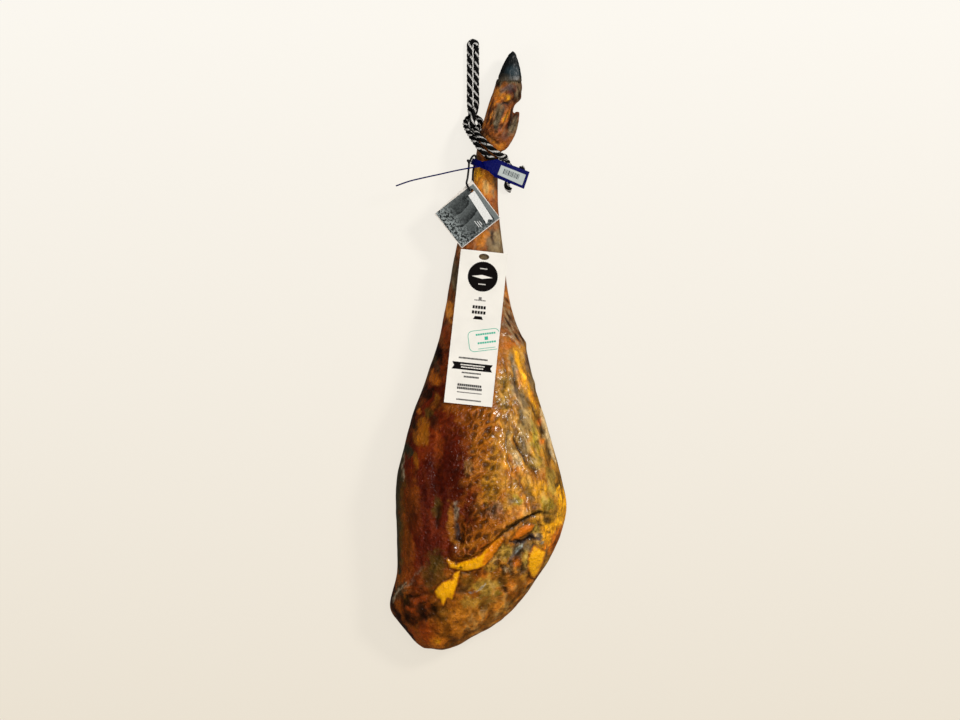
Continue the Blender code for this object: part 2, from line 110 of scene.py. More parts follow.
# Where its wrinkles are upright folds: across it, from -1 to 1, and along it in millimetres
FOLDS_ACROSS = (0.15, 0.4)
FOLDS_ALONG = (-300, -230)

# The pattern of the long slanted wrinkles beside the label, shared by their relief and their painted light
# and shade: turn in degrees, lumps in millimetres, seed
HATCHES = (30, (4.2, 26, 9), 27)

# Wrinkles in the mesh: zone, height, turn in degrees, lumps in millimetres, seed, octaves, ground level
WRINKLES = (
    ("middle", 1.6, -42, (6.5, 15, 8), 7, 2, 0.5),
    ("middle", 1.4, -20, (11, 14, 11), 9, 3, 0.45),
    ("right", 3.3, 14, (12, 44, 16), 11, 3, 0.45),
    ("low", 1.5, 0, (24, 17, 18), 13, 2, 0.45),
    ("butt", 2.2, 0, (13, 10, 12), 17, 3, 0.45),
    ("shank", 1.1, 5, (8, 54, 12), 19, 3, 0.45),
    ("foot", 1.6, 0, (7, 11, 7), 23, 3, 0.45),
    ("hatched", 1.6, *HATCHES, 3, 0.5),
)

# Creases: path, half width, depth in millimetres, and how dark they are painted, as dark crust and painted
# shade
CREASES = (
    (SEAM_PATH, 7.0, 1.8, 0.2),
    (((-56, -206), (-54, -225), (-57, -243)), 3.4, 1.8, 0.85),
    (((-92, -150), (-95, -200), (-93, -260), (-97, -300)), 3.0, 0.8, 0.3),
    (((-72, -206), (-70, -250), (-80, -300), (-100, -328)), 4.0, 1.0, 0.3),
    (((-46, -262), (-58, -290), (-70, -312)), 2.0, 1.0, 0.4),
    (((46, -112), (52, -128), (61, -146), (64, -156)), 1.6, 2.0, 0.9),
    (((36, -80), (40, -100), (36, -132), (44, -158), (42, -180)), 1.7, 1.4, 0.55),
    (((37, -132), (26, -150), (12, -166), (0, -176)), 1.7, 1.2, 0.45),
    (((52, -70), (56, -90), (52, -106), (46, -114)), 1.6, 1.2, 0.5),
    (((55, -160), (57, -178), (63, -194), (66, -206)), 1.6, 1.6, 0.7),
    (((64, -156), (78, -158), (92, -152)), 1.5, 0.9, 0.35),
    (((70, -66), (77, -84), (84, -104), (86, -118)), 2.4, 1.6, 0.7),
    (((90, -118), (93, -134), (98, -146)), 2.4, 1.4, 0.7),
    (((18, -178), (25, -182), (26, -190), (20, -192)), 1.4, 1.6, 0.8),
    (((38, -200), (46, -204), (56, -198)), 1.6, 1.3, 0.6),
    (((33, -8), (36, -40), (30, -70)), 1.8, 1.0, 0.5),
    (((46, -2), (44, -22), (50, -46), (52, -70)), 1.8, 1.4, 0.6),
    (((56, -12), (60, -34), (68, -58)), 1.5, -1.6, 0.0),
    (((58, -24), (66, -50), (76, -76), (80, -92)), 1.8, -1.8, 0.0),
    (((42, -254), (56, -258), (70, -250), (84, -258)), 2.8, 2.6, 0.9),
    (((42, -288), (52, -277), (61, -264)), 2.0, 2.2, 0.8),
    (((54, -272), (60, -286), (58, -300)), 2.0, 1.6, 0.8),
    (((29, -286), (33, -296), (31, -306)), 1.6, 1.4, 0.8),
    (((38, -288), (44, -300), (50, -306)), 1.6, 1.2, 0.6),
    (((-22, -296), (-8, -300), (4, -298)), 2.0, 1.2, 0.5),
    (((-30, -312), (-22, -322), (-8, -328)), 2.4, 1.4, 0.6),
    (((34, -316), (35, -326)), 2.4, 1.4, 0.9),
    (((-104, -326), (-88, -332), (-70, -326), (-56, -332)), 2.4, 1.6, 0.5),
    (((-60, -340), (-58, -356), (-46, -366)), 2.4, 1.4, 0.7),
    (((-66, -372), (-50, -382), (-30, -384)), 2.2, 1.0, 0.5),
    (((-8, 165), (-14, 145), (-22, 120)), 1.4, 0.8, 0.6),
    (((17, 163), (19, 150), (22, 136)), 1.6, 1.0, 0.8),
    (((27, 165), (31, 148)), 1.0, 0.5, 0.5),
    (((-28, 130), (-31, 90), (-36, 60)), 1.3, 0.8, 0.6),
    (((-24, 120), (-28, 80)), 1.0, 0.6, 0.4),
    (((29.8, 333.5), (35, 330), (43, 327.3)), 1.5, 1.5, 1.0),
    (((20, 337), (17, 325), (12, 309), (9, 298)), 1.3, 0.8, 0.7),
    (((24, 296), (23.5, 311), (28, 326)), 1.2, 0.9, 0.7),
    (((43, 325), (38, 310), (33, 299), (27, 293)), 1.2, 1.0, 0.8),
    (((46, 326), (46, 312), (43, 300), (38, 292)), 1.6, 1.6, 0.9),
    (((41, 351), (46, 344), (46, 337), (43, 330)), 1.5, 1.6, 0.9),
    (((50, 353), (53, 345), (50, 336)), 1.0, 1.0, 0.8),
    (((56, 354), (56.5, 346), (54, 339)), 0.9, 0.8, 0.7),
    (((47, 300), (50, 308), (52, 317)), 1.0, 1.0, 0.9),
    (((43, 287), (47, 297), (51, 305)), 1.0, 0.8, 0.7),
    (((33, 352), (36, 346), (35, 341)), 1.2, 0.8, 0.6),
    (((14, 320), (12, 310), (16, 300)), 0.9, 0.7, 0.6),
    (((8, 292), (20, 280), (30, 272)), 1.6, 0.9, 0.6),
)

# Broad zones of the shown side, from none to full across it (-1 to 1), with colour and strength
ZONES = (
    (-0.15, -0.45, "red_meat", 1.0),
    (0.1, 0.4, "amber", 1.0),
    (0.4, 0.7, "gold", 0.8),
    (-0.84, -0.98, "olive_brown", 0.8),
    (0.9, 1.0, "olive_brown", 0.5),
)

# Patches of the shown side: x, y, radii, turn in degrees, colour, strength
PATCHES = (
    (-76, -180, 24, 130, 4, "red_meat", 1.0),
    (-68, -176, 11, 42, 0, "deep_meat", 1.0),
    (-36, -155, 20, 74, 0, "deep_meat", 0.95),
    (-32, -95, 26, 26, 0, "red_meat", 0.7),
    (-18, -135, 13, 52, 6, "red_meat", 0.6),
    (-4, -202, 20, 40, -8, "red_meat", 0.9),
    (-6, -216, 14, 22, -30, "deep_meat", 0.7),
    (4, -172, 9, 26, -8, "rust", 0.7),
    (-54, -128, 7, 26, 0, "rust", 0.8),
    (-87, -212, 11, 44, 4, "brown_meat", 0.55),
    (-80, -250, 16, 40, 6, "deep_meat", 0.7),
    (-72, -292, 32, 42, 8, "red_meat", 0.75),
    (-60, -304, 20, 22, 20, "olive_brown", 0.6),
    (-94, -266, 8, 40, 4, "brown_meat", 0.6),
    (-56, -212, 6, 16, 0, "olive_brown", 0.8),
    (0, -88, 30, 26, 0, "brown_meat", 0.9),
    (18, -118, 24, 44, -12, "amber", 0.9),
    (12, -160, 18, 26, -20, "amber", 0.9),
    (6, -142, 12, 30, -14, "brown_meat", 0.5),
    (-4, -134, 8, 14, -10, "amber", 0.5),
    (12, -100, 20, 16, 0, "brown_meat", 0.7),
    (16, -186, 14, 24, -10, "gold", 0.7),
    (3, -201, 6, 16, -14, "amber", 0.8),
    # Painted highlight
    (-13, -157, 7, 10, 0, "pale_gold", 0.3),
    (24, -160, 14, 60, -4, "gold", 0.7),
    (36, -110, 10, 40, 4, "gold", 0.8),
    (22, -217, 13, 10, 16, "violet_bloom", 0.65),
    (24, -208, 8, 7, 10, "grey_bloom", 0.5),
    (44, -196, 12, 24, 0, "gold", 0.9),
    (52, -202, 6, 9, 20, "olive", 0.9),
    # Painted glints on the wrinkles here
    (44, -202, 6, 3, 20, "pale_edge", 0.7),
    (44, -132, 7, 24, 24, "pale_gold", 0.8),
    (51, -146, 5, 10, 24, "pale_edge", 0.55),
    (62, -94, 10, 26, 6, "pale_gold", 0.85),
    (60, -128, 9, 18, 20, "pale_gold", 0.75),
    (77, -122, 6, 24, 10, "olive", 0.7),
    (84, -164, 20, 16, 20, "honey", 0.8),
    (78, -150, 10, 12, 20, "olive_gold", 0.7),
    (80, -186, 16, 10, 10, "fat", 0.45),
    (98, -176, 7, 18, 8, "olive_gold", 0.8),
    (64, -178, 6, 16, 16, "gold", 0.9),
    (92, -207, 12, 9, 10, "olive", 0.75),
    (72, -210, 14, 7, 0, "amber", 0.8),
    (-77, -111, 11, 20, 8, "honey", 1.0),
    (-72, -100, 8, 10, 0, "honey", 0.9),
    (-83, -148, 3.5, 13, 8, "honey", 0.8),
    (-66, -84, 7, 8, 0, "olive_brown", 0.8),
    (-60, -96, 6, 12, 10, "black_crust", 0.8),
    (-58, -76, 8, 9, 0, "black_crust", 0.6),
    (-80, -82, 3.5, 5, 20, "deep_fat", 0.9),
    (-86, -100, 4, 10, 20, "black_crust", 0.9),
    (-93, -135, 6, 10, 30, "green_mould", 1.0),
    (82, -97, 2.5, 7, 12, "deep_fat", 1.0),
    (85, -123.5, 4, 6, 0, "deep_fat", 1.0),
    (86, -110, 4, 8, 0, "black_crust", 0.8),
    (94, -136, 4, 12, 14, "black_crust", 0.6),
    (105, -182, 5, 6, 0, "black_crust", 0.7),
    (107, -190, 3, 5, -20, "fat", 0.9),
    (114, -210, 10, 26, -4, "fat", 1.0),
    (93, -118, 4, 24, 14, "pale_edge", 0.6),
    (108, -232, 10, 16, -10, "fat", 0.95),
    (101, -254, 12, 22, -28, "deep_fat", 0.9),
    (109, -243, 9, 12, -10, "burnt_fat", 0.7),
    (97, -236, 10, 12, -20, "fat", 0.8),
    (90, -252, 6, 8, 0, "fat", 0.7),
    (94, -243.6, 2.5, 2.2, 0, "black_crust", 0.9),
    (103, -262, 4, 6, -30, "red_meat", 0.6),
    (93, -228, 9, 5, 0, "olive_brown", 0.8),
    (92, -230, 4, 6, 0, "black_crust", 0.6),
    (77, -240, 6, 7, 30, "olive_gold", 0.8),
    (80, -250, 6, 4, -30, "grey_bloom", 0.8),
    (58, -266, 20, 10, 30, "grey_skin", 0.9),
    (48, -272, 6, 5, 30, "pale_skin", 0.7),
    (31, -270, 12, 16, 40, "olive_gold", 0.9),
    (16, -290, 11, 8, 20, "olive_gold", 0.8),
    (20, -282, 8, 5, 30, "pale_gold", 0.6),
    (1, -300, 10, 9, 10, "rust", 0.7),
    (2, -336, 20, 10, 10, "amber", 0.9),
    (-22, -340, 10, 10, 0, "honey", 0.8),
    (52, -285, 8, 8, 0, "deep_fat", 1.0),
    (62, -280, 5, 12, 0, "olive_gold", 0.8),
    (58, -299, 10, 8, -30, "green_mould", 0.6),
    (66, -308, 7, 5, 36, "deep_fat", 0.7),
    (38, -296, 10, 9, 0, "black_crust", 0.6),
    (50, -313, 13, 9, 30, "deep_fat", 0.7),
    (60, -306, 8, 5, 30, "gold", 0.6),
    (-14, -308, 10, 14, 10, "olive_brown", 0.95),
    (-20, -322, 9, 9, 0, "green_mould", 0.7),
    (3, -319, 13, 6, 24, "olive", 0.7),
    (26, -325, 5, 5, 0, "olive", 0.9),
    (34, -321, 3, 5, 0, "black_crust", 0.9),
    (-4, -331, 10, 6, 22, "rust", 0.5),
    (14, -338, 16, 8, 22, "olive_gold", 0.9),
    (24, -305, 12, 7, 20, "olive_brown", 0.5),
    (8, -308, 12, 6, 24, "amber", 0.6),
    (42, -337, 20, 6, 38, "deep_fat", 0.5),
    (-4, -356, 46, 20, 18, "amber", 1.0),
    (30, -348, 20, 6, 34, "olive_gold", 0.7),
    (-14, -346, 16, 8, 20, "amber", 0.8),
    (14, -346, 24, 8, 24, "amber", 0.8),
    (-18, -372, 20, 6, 16, "amber", 0.6),
    (47, -321, 15, 9, 38, "deep_fat", 1.0),
    (10, -318, 18, 12, 20, "olive_gold", 1.0),
    (-10, -338, 14, 8, 10, "olive_gold", 0.7),
    (30, -336, 16, 8, 36, "amber", 0.9),
    (54, -316, 7, 6, 38, "amber", 0.9),
    (-30, -368, 20, 10, 10, "brown_meat", 0.5),
    (20, -354, 18, 6, 30, "rust", 0.5),
    (-56, -284, 12, 18, 20, "olive_brown", 0.8),
    (-86, -306, 10, 16, 30, "rust", 0.4),
    (-106, -326, 9, 16, -20, "green_mould", 0.9),
    (-96, -336, 8, 6, 20, "olive_brown", 0.7),
    (-84, -348, 26, 24, -40, "black_crust", 0.9),
    (-62, -350, 16, 14, 0, "black_crust", 0.85),
    (-78, -334, 12, 4, 14, "rust", 0.9),
    (-92, -348, 7, 3.5, -30, "rust", 0.8),
    (-68, -342, 4, 5, 0, "rust", 0.6),
    (-66, -378, 16, 13, 40, "rust", 0.9),
    (-90, -377, 4, 7, 40, "rust", 0.7),
    (-32, -388, 12, 5, 14, "brown_meat", 0.7),
    (-52, -391, 12, 8, 8, "deep_fat", 1.0),
    (-54, -391, 6, 4, 8, "fat", 0.6),
    (-46, -352, 6, 12, 0, "olive_brown", 0.7),
    # Painted shadow in the hollow, in the black crust's colour
    (-28, -250, 9.5, 18, 0, "black_crust", 0.95),
    (-28, -240, 5, 9, 0, "violet_bloom", 0.8),
    (-37, -228, 6, 24, 4, "amber", 0.8),
    # Painted highlight on the hollow's raised rim
    (-30, -217, 3.6, 15, 0, "grey_bloom", 0.7),
    (-30, 40, 30, 60, 8, "brown_skin", 0.7),
    (7, 124, 10, 8, 0, "grey_skin", 1.0),
    (7, 124, 6, 5, 0, "green_mould", 0.5),
    (-32, 100, 9, 44, 10, "grey_skin", 1.0),
    (-40, 54, 6, 14, 14, "tan_skin", 1.0),
    (-43, 20, 7, 22, 12, "rust", 1.0),
    (-45, -30, 7, 34, 12, "rust", 0.9),
    (-54, -4, 7, 22, 16, "black_crust", 1.0),
    (-60, -18, 6, 16, 20, "green_mould", 0.9),
    (-62, -24, 4, 14, 20, "black_crust", 0.8),
    (-59, -38, 7, 9, 20, "deep_fat", 0.85),
    (-68, -58, 10, 11, 20, "black_crust", 0.95),
    (-56, -66, 5, 9, 10, "amber", 0.8),
    (-30, -74, 30, 10, 0, "brown_meat", 1.0),
    (45, 34, 10, 20, 24, "grey_skin", 0.95),
    (40, 66, 3.5, 18, 12, "tan_skin", 1.0),
    (47, 44, 2.6, 16, 26, "amber", 1.0),
    (58, 16, 8, 14, 26, "grey_skin", 0.95),
    (67, -20, 6, 20, 16, "violet_bloom", 0.75),
    (74, -46, 6, 20, 20, "grey_skin", 0.9),
    (44, 7, 12, 8, 10, "deep_fat", 0.9),
    (34, -14, 5, 16, 0, "amber", 0.9),
    (52, -9, 3.6, 8, 12, "fat", 0.95),
    (44, -12, 3, 9, 0, "grey_bloom", 0.85),
    (50, -30, 4, 12, 10, "grey_bloom", 0.9),
    (55, -40, 5, 14, 14, "deep_fat", 0.6),
    (47, -52, 5, 18, 4, "grey_bloom", 0.7),
    (32, -56, 12, 30, 2, "olive_gold", 0.6),
    (62, -38, 3, 16, 16, "amber", 0.75),
    (72, -66, 4, 18, 22, "deep_fat", 0.7),
    (58, -72, 8, 14, 10, "grey_bloom", 0.6),
    (24, 146, 10, 22, 0, "pale_skin", 0.9),
    (14, 148, 5, 16, 0, "grey_skin", 0.9),
    (2, 148, 7, 16, 4, "tan_skin", 0.7),
    (-10, 144, 7, 12, 0, "brown_skin", 0.9),
    (19, 156, 2, 9, 0, "black_crust", 0.7),
    (-4, 205, 9, 46, 3, "tan_skin", 1.0),
    (10, 205, 12, 46, 0, "tan_skin", 0.9),
    # Painted light on the shank's left edge, in the fat's colour, over its orange skin
    (-2, 236, 9, 14, 0, "fat", 0.75),
    (11, 218, 5, 9, 10, "pale_gold", 0.8),
    (17, 196, 7, 10, 0, "rust", 0.7),
    (25, 200, 4, 30, 0, "brown_skin", 0.9),
    (21, 172, 8, 14, 0, "brown_skin", 0.6),
    (32, 300, 34, 60, -16, "brown_skin", 1.0),
    (27, 341, 8, 12, -20, "tan_skin", 1.0),
    (24, 333, 6, 8, -20, "deep_fat", 0.7),
    (32, 347, 4, 4, 0, "violet_bloom", 0.75),
    (37, 337, 5, 6, -10, "amber", 0.8),
    (40, 339, 3.5, 4, -10, "fat", 0.8),
    (52, 345, 6, 11, -10, "grey_skin", 1.0),
    (50, 350, 3.5, 5, -20, "pale_skin", 0.8),
    (55, 342, 3.5, 9, -30, "black_crust", 0.8),
    (48, 334, 4, 3, -40, "black_crust", 0.8),
    (16, 327, 5, 9, -20, "tan_skin", 0.9),
    (10, 305, 4, 9, -20, "tan_skin", 0.8),
    (14, 309, 7, 12, -20, "rust", 0.4),
    (12, 313, 2.5, 5, -20, "pale_skin", 0.4),
    (27, 314, 8.5, 15, -20, "grey_skin", 1.0),
    (24, 300, 6, 10, -14, "grey_skin", 0.9),
    (28, 327, 4, 4, 0, "pale_skin", 0.8),
    (25, 309, 4, 9, -20, "green_mould", 0.55),
    (18, 314, 3.5, 7, -20, "tan_skin", 0.8),
    (23, 301, 4, 9, -14, "green_mould", 0.8),
    (23, 303, 2.5, 6, -14, "grey_bloom", 0.45),
    (36, 312, 4.5, 17, -27, "deep_fat", 1.0),
    # Painted highlight on the tendon's ridge, in the fat's colour
    (37, 312, 2.4, 8, -27, "fat", 1.0),
    (39, 300, 2, 7, -20, "deep_meat", 0.9),
    (28.3, 294.3, 2.6, 2.2, 0, "red_spot", 0.9),
    (33, 281, 11, 12, 0, "brown_skin", 0.8),
    (30, 272, 8, 6, 0, "tan_skin", 0.6),
    (36, 286, 6, 7, -20, "violet_bloom", 0.5),
    (50, 311, 5, 9, -14, "black_crust", 0.9),
    (46, 297, 6, 14, -26, "grey_skin", 1.0),
    (44, 297, 2, 6, -30, "pale_skin", 0.7),
    (9, 290, 8, 5, -35, "black_crust", 0.6),
    (21.6, 276.8, 3, 12, 52, "tan_skin", 0.9),
    (46, 350, 10, 6, 8, "deep_meat", 0.9),
    (39, 351, 8, 4.5, 20, "violet_bloom", 0.8),
    (42, 344, 7, 3.5, 10, "deep_meat", 0.6),
    (46, 359.5, 13, 4.5, 0, "grey_skin", 0.95),
    (47, 359, 6, 2.2, 12, "pale_skin", 0.6),
    (27, 358, 5, 7, -14, "black_crust", 1.0),
    (32, 361, 3, 3, 0, "pale_skin", 0.5),
)

# Skin beside the label with long slanted wrinkles: x, y, radii, turn in degrees
HATCHED_SKIN = (47, 38, 14, 46, 24)

# Bands of the shown side: path, half width, colour, strength
BANDS = (
    (((-98, -128), (-104, -150), (-109, -190), (-110, -240), (-106, -300)), 4.5, "green_mould", 0.95),
    # Pale line on the mould at the left edge: grey bloom with painted sheen
    (((-99.5, -140), (-101, -176)), 1.2, "grey_bloom", 0.9),
    (((-62, 10), (-70, -25), (-84, -70), (-97, -120)), 3.5, "black_crust", 0.9),
    (((47, 0), (53, -16), (60, -36), (69, -61), (78, -88)), 2.8, "fat", 0.75),
    (((31, 20), (40, 20), (50, 12), (56, 2)), 1.1, "pale_edge", 0.8),
    (((85, -76), (98, -112), (109, -152), (114, -184)), 2.2, "violet_bloom", 0.85),
    (((84, -80), (93, -114), (103, -150)), 3.0, "pale_edge", 0.7),
    (((110, -190), (116, -204), (117, -222)), 7.0, "fat", 0.85),
    (((114, -236), (108, -250), (98, -264)), 5.0, "burnt_fat", 0.9),
    (((-112, -318), (-118, -338), (-104, -366), (-84, -394)), 3.0, "black_crust", 0.9),
    (((-98, -312), (-110, -326), (-115, -338)), 1.4, "grey_bloom", 0.8),
    (((-74, -290), (-90, -312), (-104, -322)), 1.2, "grey_bloom", 0.35),
    (((60, -322), (36, -348), (8, -368), (-20, -384)), 2.5, "black_crust", 0.45),
    (((-34, -254), (-20, -266), (0, -262), (20, -246), (44, -224)), 6.5, "amber", 0.6),
    (((24, 358), (33, 361), (44, 361.5), (57, 357)), 2.6, "green_mould", 0.95),
    (((20, 336), (16, 322), (11, 306), (8, 294)), 1.6, "rust", 0.7),
    (((30, 329), (40, 332), (46, 337)), 1.3, "black_crust", 0.8),
    (((35, 325), (30, 310), (26, 298)), 1.4, "black_crust", 0.7),
    (((22, 326), (18, 310), (16, 298)), 1.2, "black_crust", 0.6),
    (((45, 325), (43, 310), (39, 297)), 1.5, "black_crust", 0.8),
    (((-28, -268), (-8, -270), (14, -256)), 3.0, "rust", 0.6),
    (((-34, -270), (-27, -276), (-12, -275), (3, -268), (18, -257)), 1.2, "black_crust", 0.7),
    # These two bands darken the lip's lower edge: painted shade under the lip's roll, over its brown skin
    (((24, -250), (41, -238), (56, -229), (72, -220), (90, -218), (102, -219)), 3.4, "olive_brown", 0.8),
    (((24, -250), (41, -238), (56, -229), (72, -220), (88, -218)), 1.6, "black_crust", 0.9),
    (((42, -257), (56, -258), (70, -249), (80, -255)), 3.4, "violet_bloom", 1.0),
    (((42, -257), (56, -258), (68, -250)), 2.4, "black_crust", 0.9),
    (((39, -285), (48, -274), (60, -260)), 2.4, "violet_bloom", 0.8),
    # Painted highlight along the pale sinew beside the slit
    (((50, -272), (60, -259)), 1.3, "pale_bloom", 0.95),
    (((86, -258), (82, -261)), 2.6, "grey_bloom", 1.0),
    (((37, -298), (33, -288)), 0.9, "pale_edge", 0.8),
    (((43, -300), (38, -290)), 0.9, "pale_edge", 0.6),
    (((-14, -326), (0, -322), (10, -314)), 1.2, "pale_bloom", 0.5),
)

# Bare fat and meat with a clear outline: colour, strength, and the outline's points
OUTLINED = (
    ("fat", 1.0, (
        (-43, -278), (-37, -283), (-29, -285), (-20, -283), (-10, -280.5), (2, -273.5), (13, -264.5),
        (24, -254), (34, -248), (33, -256), (26, -267), (17, -279), (8, -288.5), (-2, -294.5),
        (-12, -296.5), (-22, -296.5), (-31, -293.5), (-39, -291))),
    ("fat", 1.0, (
        (-24.4, -295), (-27.8, -310.6), (-31, -322), (-35, -333), (-42, -331), (-45, -338), (-48, -345),
        (-50.5, -334), (-56, -331), (-59, -324), (-54.6, -317), (-48, -310.6), (-36, -307), (-33.6, -299))),
    ("fat", 1.0, (
        (74.4, -261), (89.5, -271), (85, -289), (76, -306), (70, -304.5), (67, -294), (66.5, -284),
        (68.5, -273))),
    ("deep_fat", 1.0, (
        (43, -255), (49, -247.5), (55, -239), (65, -233), (74, -234.5), (71, -242), (62, -247), (53, -252))),
)

# Black spots on the fat's edge, as x, y and radii, and the orange band on it, as path and half width
FAT_SPOTS = ((-30, -286.5, 2.4, 2.0), (-23.4, -290.5, 2.4, 1.8))
ORANGE_FAT = (((8, -284), (20, -270), (33, -254)), 8.0)

# The height of fine relief, in millimetres, at which its painted shade in hollows and painted light on
# crests are full, and the unseen side's gloss
RELIEF_SHADE_DEPTH = 1.1
HIDDEN_GLOSS = 0.3


def linear(hex_value):
    """A colour as a hex string in sRGB, turned to linear red, green and blue."""
    parts = [int(hex_value[place:place + 2], 16) / 255 for place in (1, 3, 5)]
    return [part / 12.92 if part <= 0.04045 else ((part + 0.055) / 1.055) ** 2.4 for part in parts]


def colour_property(name, description, hex_value):
    return bpy.props.FloatVectorProperty(name=name, description=description, subtype="COLOR", size=3,
                                         min=0.0, max=1.0, default=linear(hex_value))


def length_property(name, description, default_mm):
    return bpy.props.FloatProperty(name=name, description=description, default=default_mm * MM, min=0.0,
                                   subtype="DISTANCE", unit="LENGTH", precision=5)


class LegSettings(bpy.types.PropertyGroup):
    """Colours and relief of the cured leg"""
    deep_meat: colour_property("Deep meat", "Dark red-brown lean at the left flank", "#430C01")
    red_meat: colour_property("Red meat", "Glossy red-brown lean", "#5E1903")
    rust: colour_property("Rust", "Red-orange lean", "#8A3908")
    brown_meat: colour_property("Brown meat", "Brown lean of the middle", "#8C480B")
    amber: colour_property("Amber", "Amber fat film over the lean", "#B36C18")
    honey: colour_property("Honey", "Smooth yellow-brown fat", "#905208")
    gold: colour_property("Gold", "Golden film on the right side", "#B8821F")
    # This colour also lays a painted highlight in the middle
    pale_gold: colour_property("Pale gold", "Pale greyish gold folds", "#BE9A58")
    olive: colour_property("Olive", "Yellow-olive stains", "#968622")
    olive_gold: colour_property("Olive gold", "Olive-gold film", "#A88A34")
    olive_brown: colour_property("Olive brown", "Brown stains with some green", "#5E4512")
    # This colour also lays a painted highlight on the foot's tendon and painted light on the shank's left
    # edge
    fat: colour_property("Fat", "Bare yellow fat", "#F2A906")
    deep_fat: colour_property("Deep fat", "Orange cured fat", "#CC6C0C")
    burnt_fat: colour_property("Burnt fat", "Brown-orange edge of the fat", "#A9590C")
    # This colour also lays a painted highlight on the hollow's rim and painted sheen on the left edge's
    # mould
    grey_bloom: colour_property("Grey bloom", "Grey film of mould", "#948268")
    violet_bloom: colour_property("Violet bloom", "Grey-violet dried skin", "#5A4A48")
    # This pale blue-grey also lays a painted highlight along the sinew by the slit
    pale_bloom: colour_property("Pale bloom", "Pale blue-grey sinew", "#B8C0B8")
    green_mould: colour_property("Green mould", "Dark green-brown mould", "#38321F")
    # This colour also lays painted shade in creases, in the hollow, round the fat, under the lip and in
    # wrinkle grooves
    black_crust: colour_property("Black crust", "Nearly black dried crust", "#1A0B04")
    tan_skin: colour_property("Tan skin", "Orange-tan skin of the shank", "#D4801F")
    brown_skin: colour_property("Brown skin", "Brown skin", "#8C4A18")
    grey_skin: colour_property("Grey skin", "Grey-brown skin", "#6A573C")
    pale_skin: colour_property("Pale skin", "Pale grey-brown skin", "#94805E")
    # This colour also lays painted glints on the middle's wrinkles
    pale_edge: colour_property("Pale edge", "Pale cut edge of the skin", "#DCC090")
    red_spot: colour_property("Red spot", "Small red spot at the foot", "#9C2F1E")
    relief: bpy.props.FloatProperty(name="Relief", description="Strength of folds and wrinkles", default=1.0,
                                    min=0.0, max=2.0)


class HoofSettings(bpy.types.PropertyGroup):
    """Colours of the hoof"""
    horn: colour_property("Horn", "Slate-black horn", "#0C1010")
    bloom: colour_property("Bloom", "Teal-grey bloom on the horn", "#27414B")
    root: colour_property("Root", "Brown-grey horn near the skin", "#42392C")


class RopeSettings(bpy.types.PropertyGroup):
    """Sizes and colours of the hanging rope"""
    diameter: length_property("Diameter", "Thickness of the rope", 8.2)
    lay: length_property("Lay", "Length of one full turn of a strand", 27.2)
    # Also the painted shade on the off-white strands' flanks
    black: colour_property("Black", "Black strands", "#050505")
    white: colour_property("White", "Off-white strands", "#E4E1DB")


class TrimSettings(bpy.types.PropertyGroup):
    """Colours of the seal, the string and the cards"""
    seal_blue: colour_property("Seal blue", "Moulded blue plastic", "#01054C")
    seal_paper: colour_property("Seal paper", "Pale label in the seal's window", "#B2B8B4")
    string_black: colour_property("String", "Black string", "#0B0A0A")
    card: colour_property("Card", "Off-white card of the label", "#E4DFD5")
    ink: colour_property("Ink", "Black print", "#0C0807")
    green_ink: colour_property("Green ink", "Green stamp print", "#2FA98C")
    tag_dark: colour_property("Tag dark", "Dark grey of the tag", "#0D1212")
    tag_light: colour_property("Tag light", "Light grey of the tag", "#989F9D")


class StageSettings(bpy.types.PropertyGroup):
    """Floor, lights and camera"""
    floor_top: colour_property("Floor top", "Cream floor at the hoof's end", "#FDF9F1")
    floor_bottom: colour_property("Floor bottom", "Cream floor at the butt's end", "#EDE4D4")
    key_power: bpy.props.FloatProperty(name="Key power", description="Power of the main light",
                                       default=700.0, min=0.0, subtype="POWER", unit="POWER")
    camera_height: length_property("Camera height", "Height of the camera over the floor", 20040)


def active_only(item):
    """Select one object and nothing else, in object mode."""
    for other in bpy.context.view_layer.objects:
        other.select_set(False)
    item.select_set(True)
    bpy.context.view_layer.objects.active = item


def apply_modifiers(item):
    active_only(item)
    for change in list(item.modifiers):
        bpy.ops.object.modifier_apply(modifier=change.name)


def settle(item):
    """Put an object's place and turn into its mesh."""
    active_only(item)
    bpy.ops.object.transform_apply(location=True, rotation=True, scale=True)


def finish_piece(item, slot, *replaced):
    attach(item, BODY)
    if replaced:
        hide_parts(*replaced)
    return item


def node_copy(node, name):
    """A new object with a merged copy of a frame node's mesh."""
    mesh = frame["nodes"][node].data.copy()
    mesh.name = name
    mesh.materials.clear()
    shell = bmesh.new()
    shell.from_mesh(mesh)
    bmesh.ops.remove_doubles(shell, verts=shell.verts, dist=0.01 * MM)
    shell.to_mesh(mesh)
    shell.free()
    item = bpy.data.objects.new(name, mesh)
    bpy.context.scene.collection.objects.link(item)
    return item


def vertex_array(mesh):
    values = np.empty(len(mesh.vertices) * 3)
    mesh.vertices.foreach_get("co", values)
    return values.reshape(-1, 3)


def normal_array(mesh):
    values = np.empty(len(mesh.vertices) * 3)
    mesh.vertex_normals.foreach_get("vector", values)
    return values.reshape(-1, 3)


def smooth_step(low, high, values):
    t = np.clip((values - low) / (high - low), 0.0, 1.0)
    return t * t * (3 - 2 * t)


def soft_noise(points, size, seed, octaves=1):
    """Smooth noise from about -1 to 1 at each point; size is its lumps' length on each axis, in mm."""
    places = (points / np.array(size, float) + seed * 7.31).tolist()
    if octaves == 1:
        return np.array([noise.noise(place) for place in places])
    return np.array([noise.fractal(place, 1.0, 2.0, octaves) for place in places])


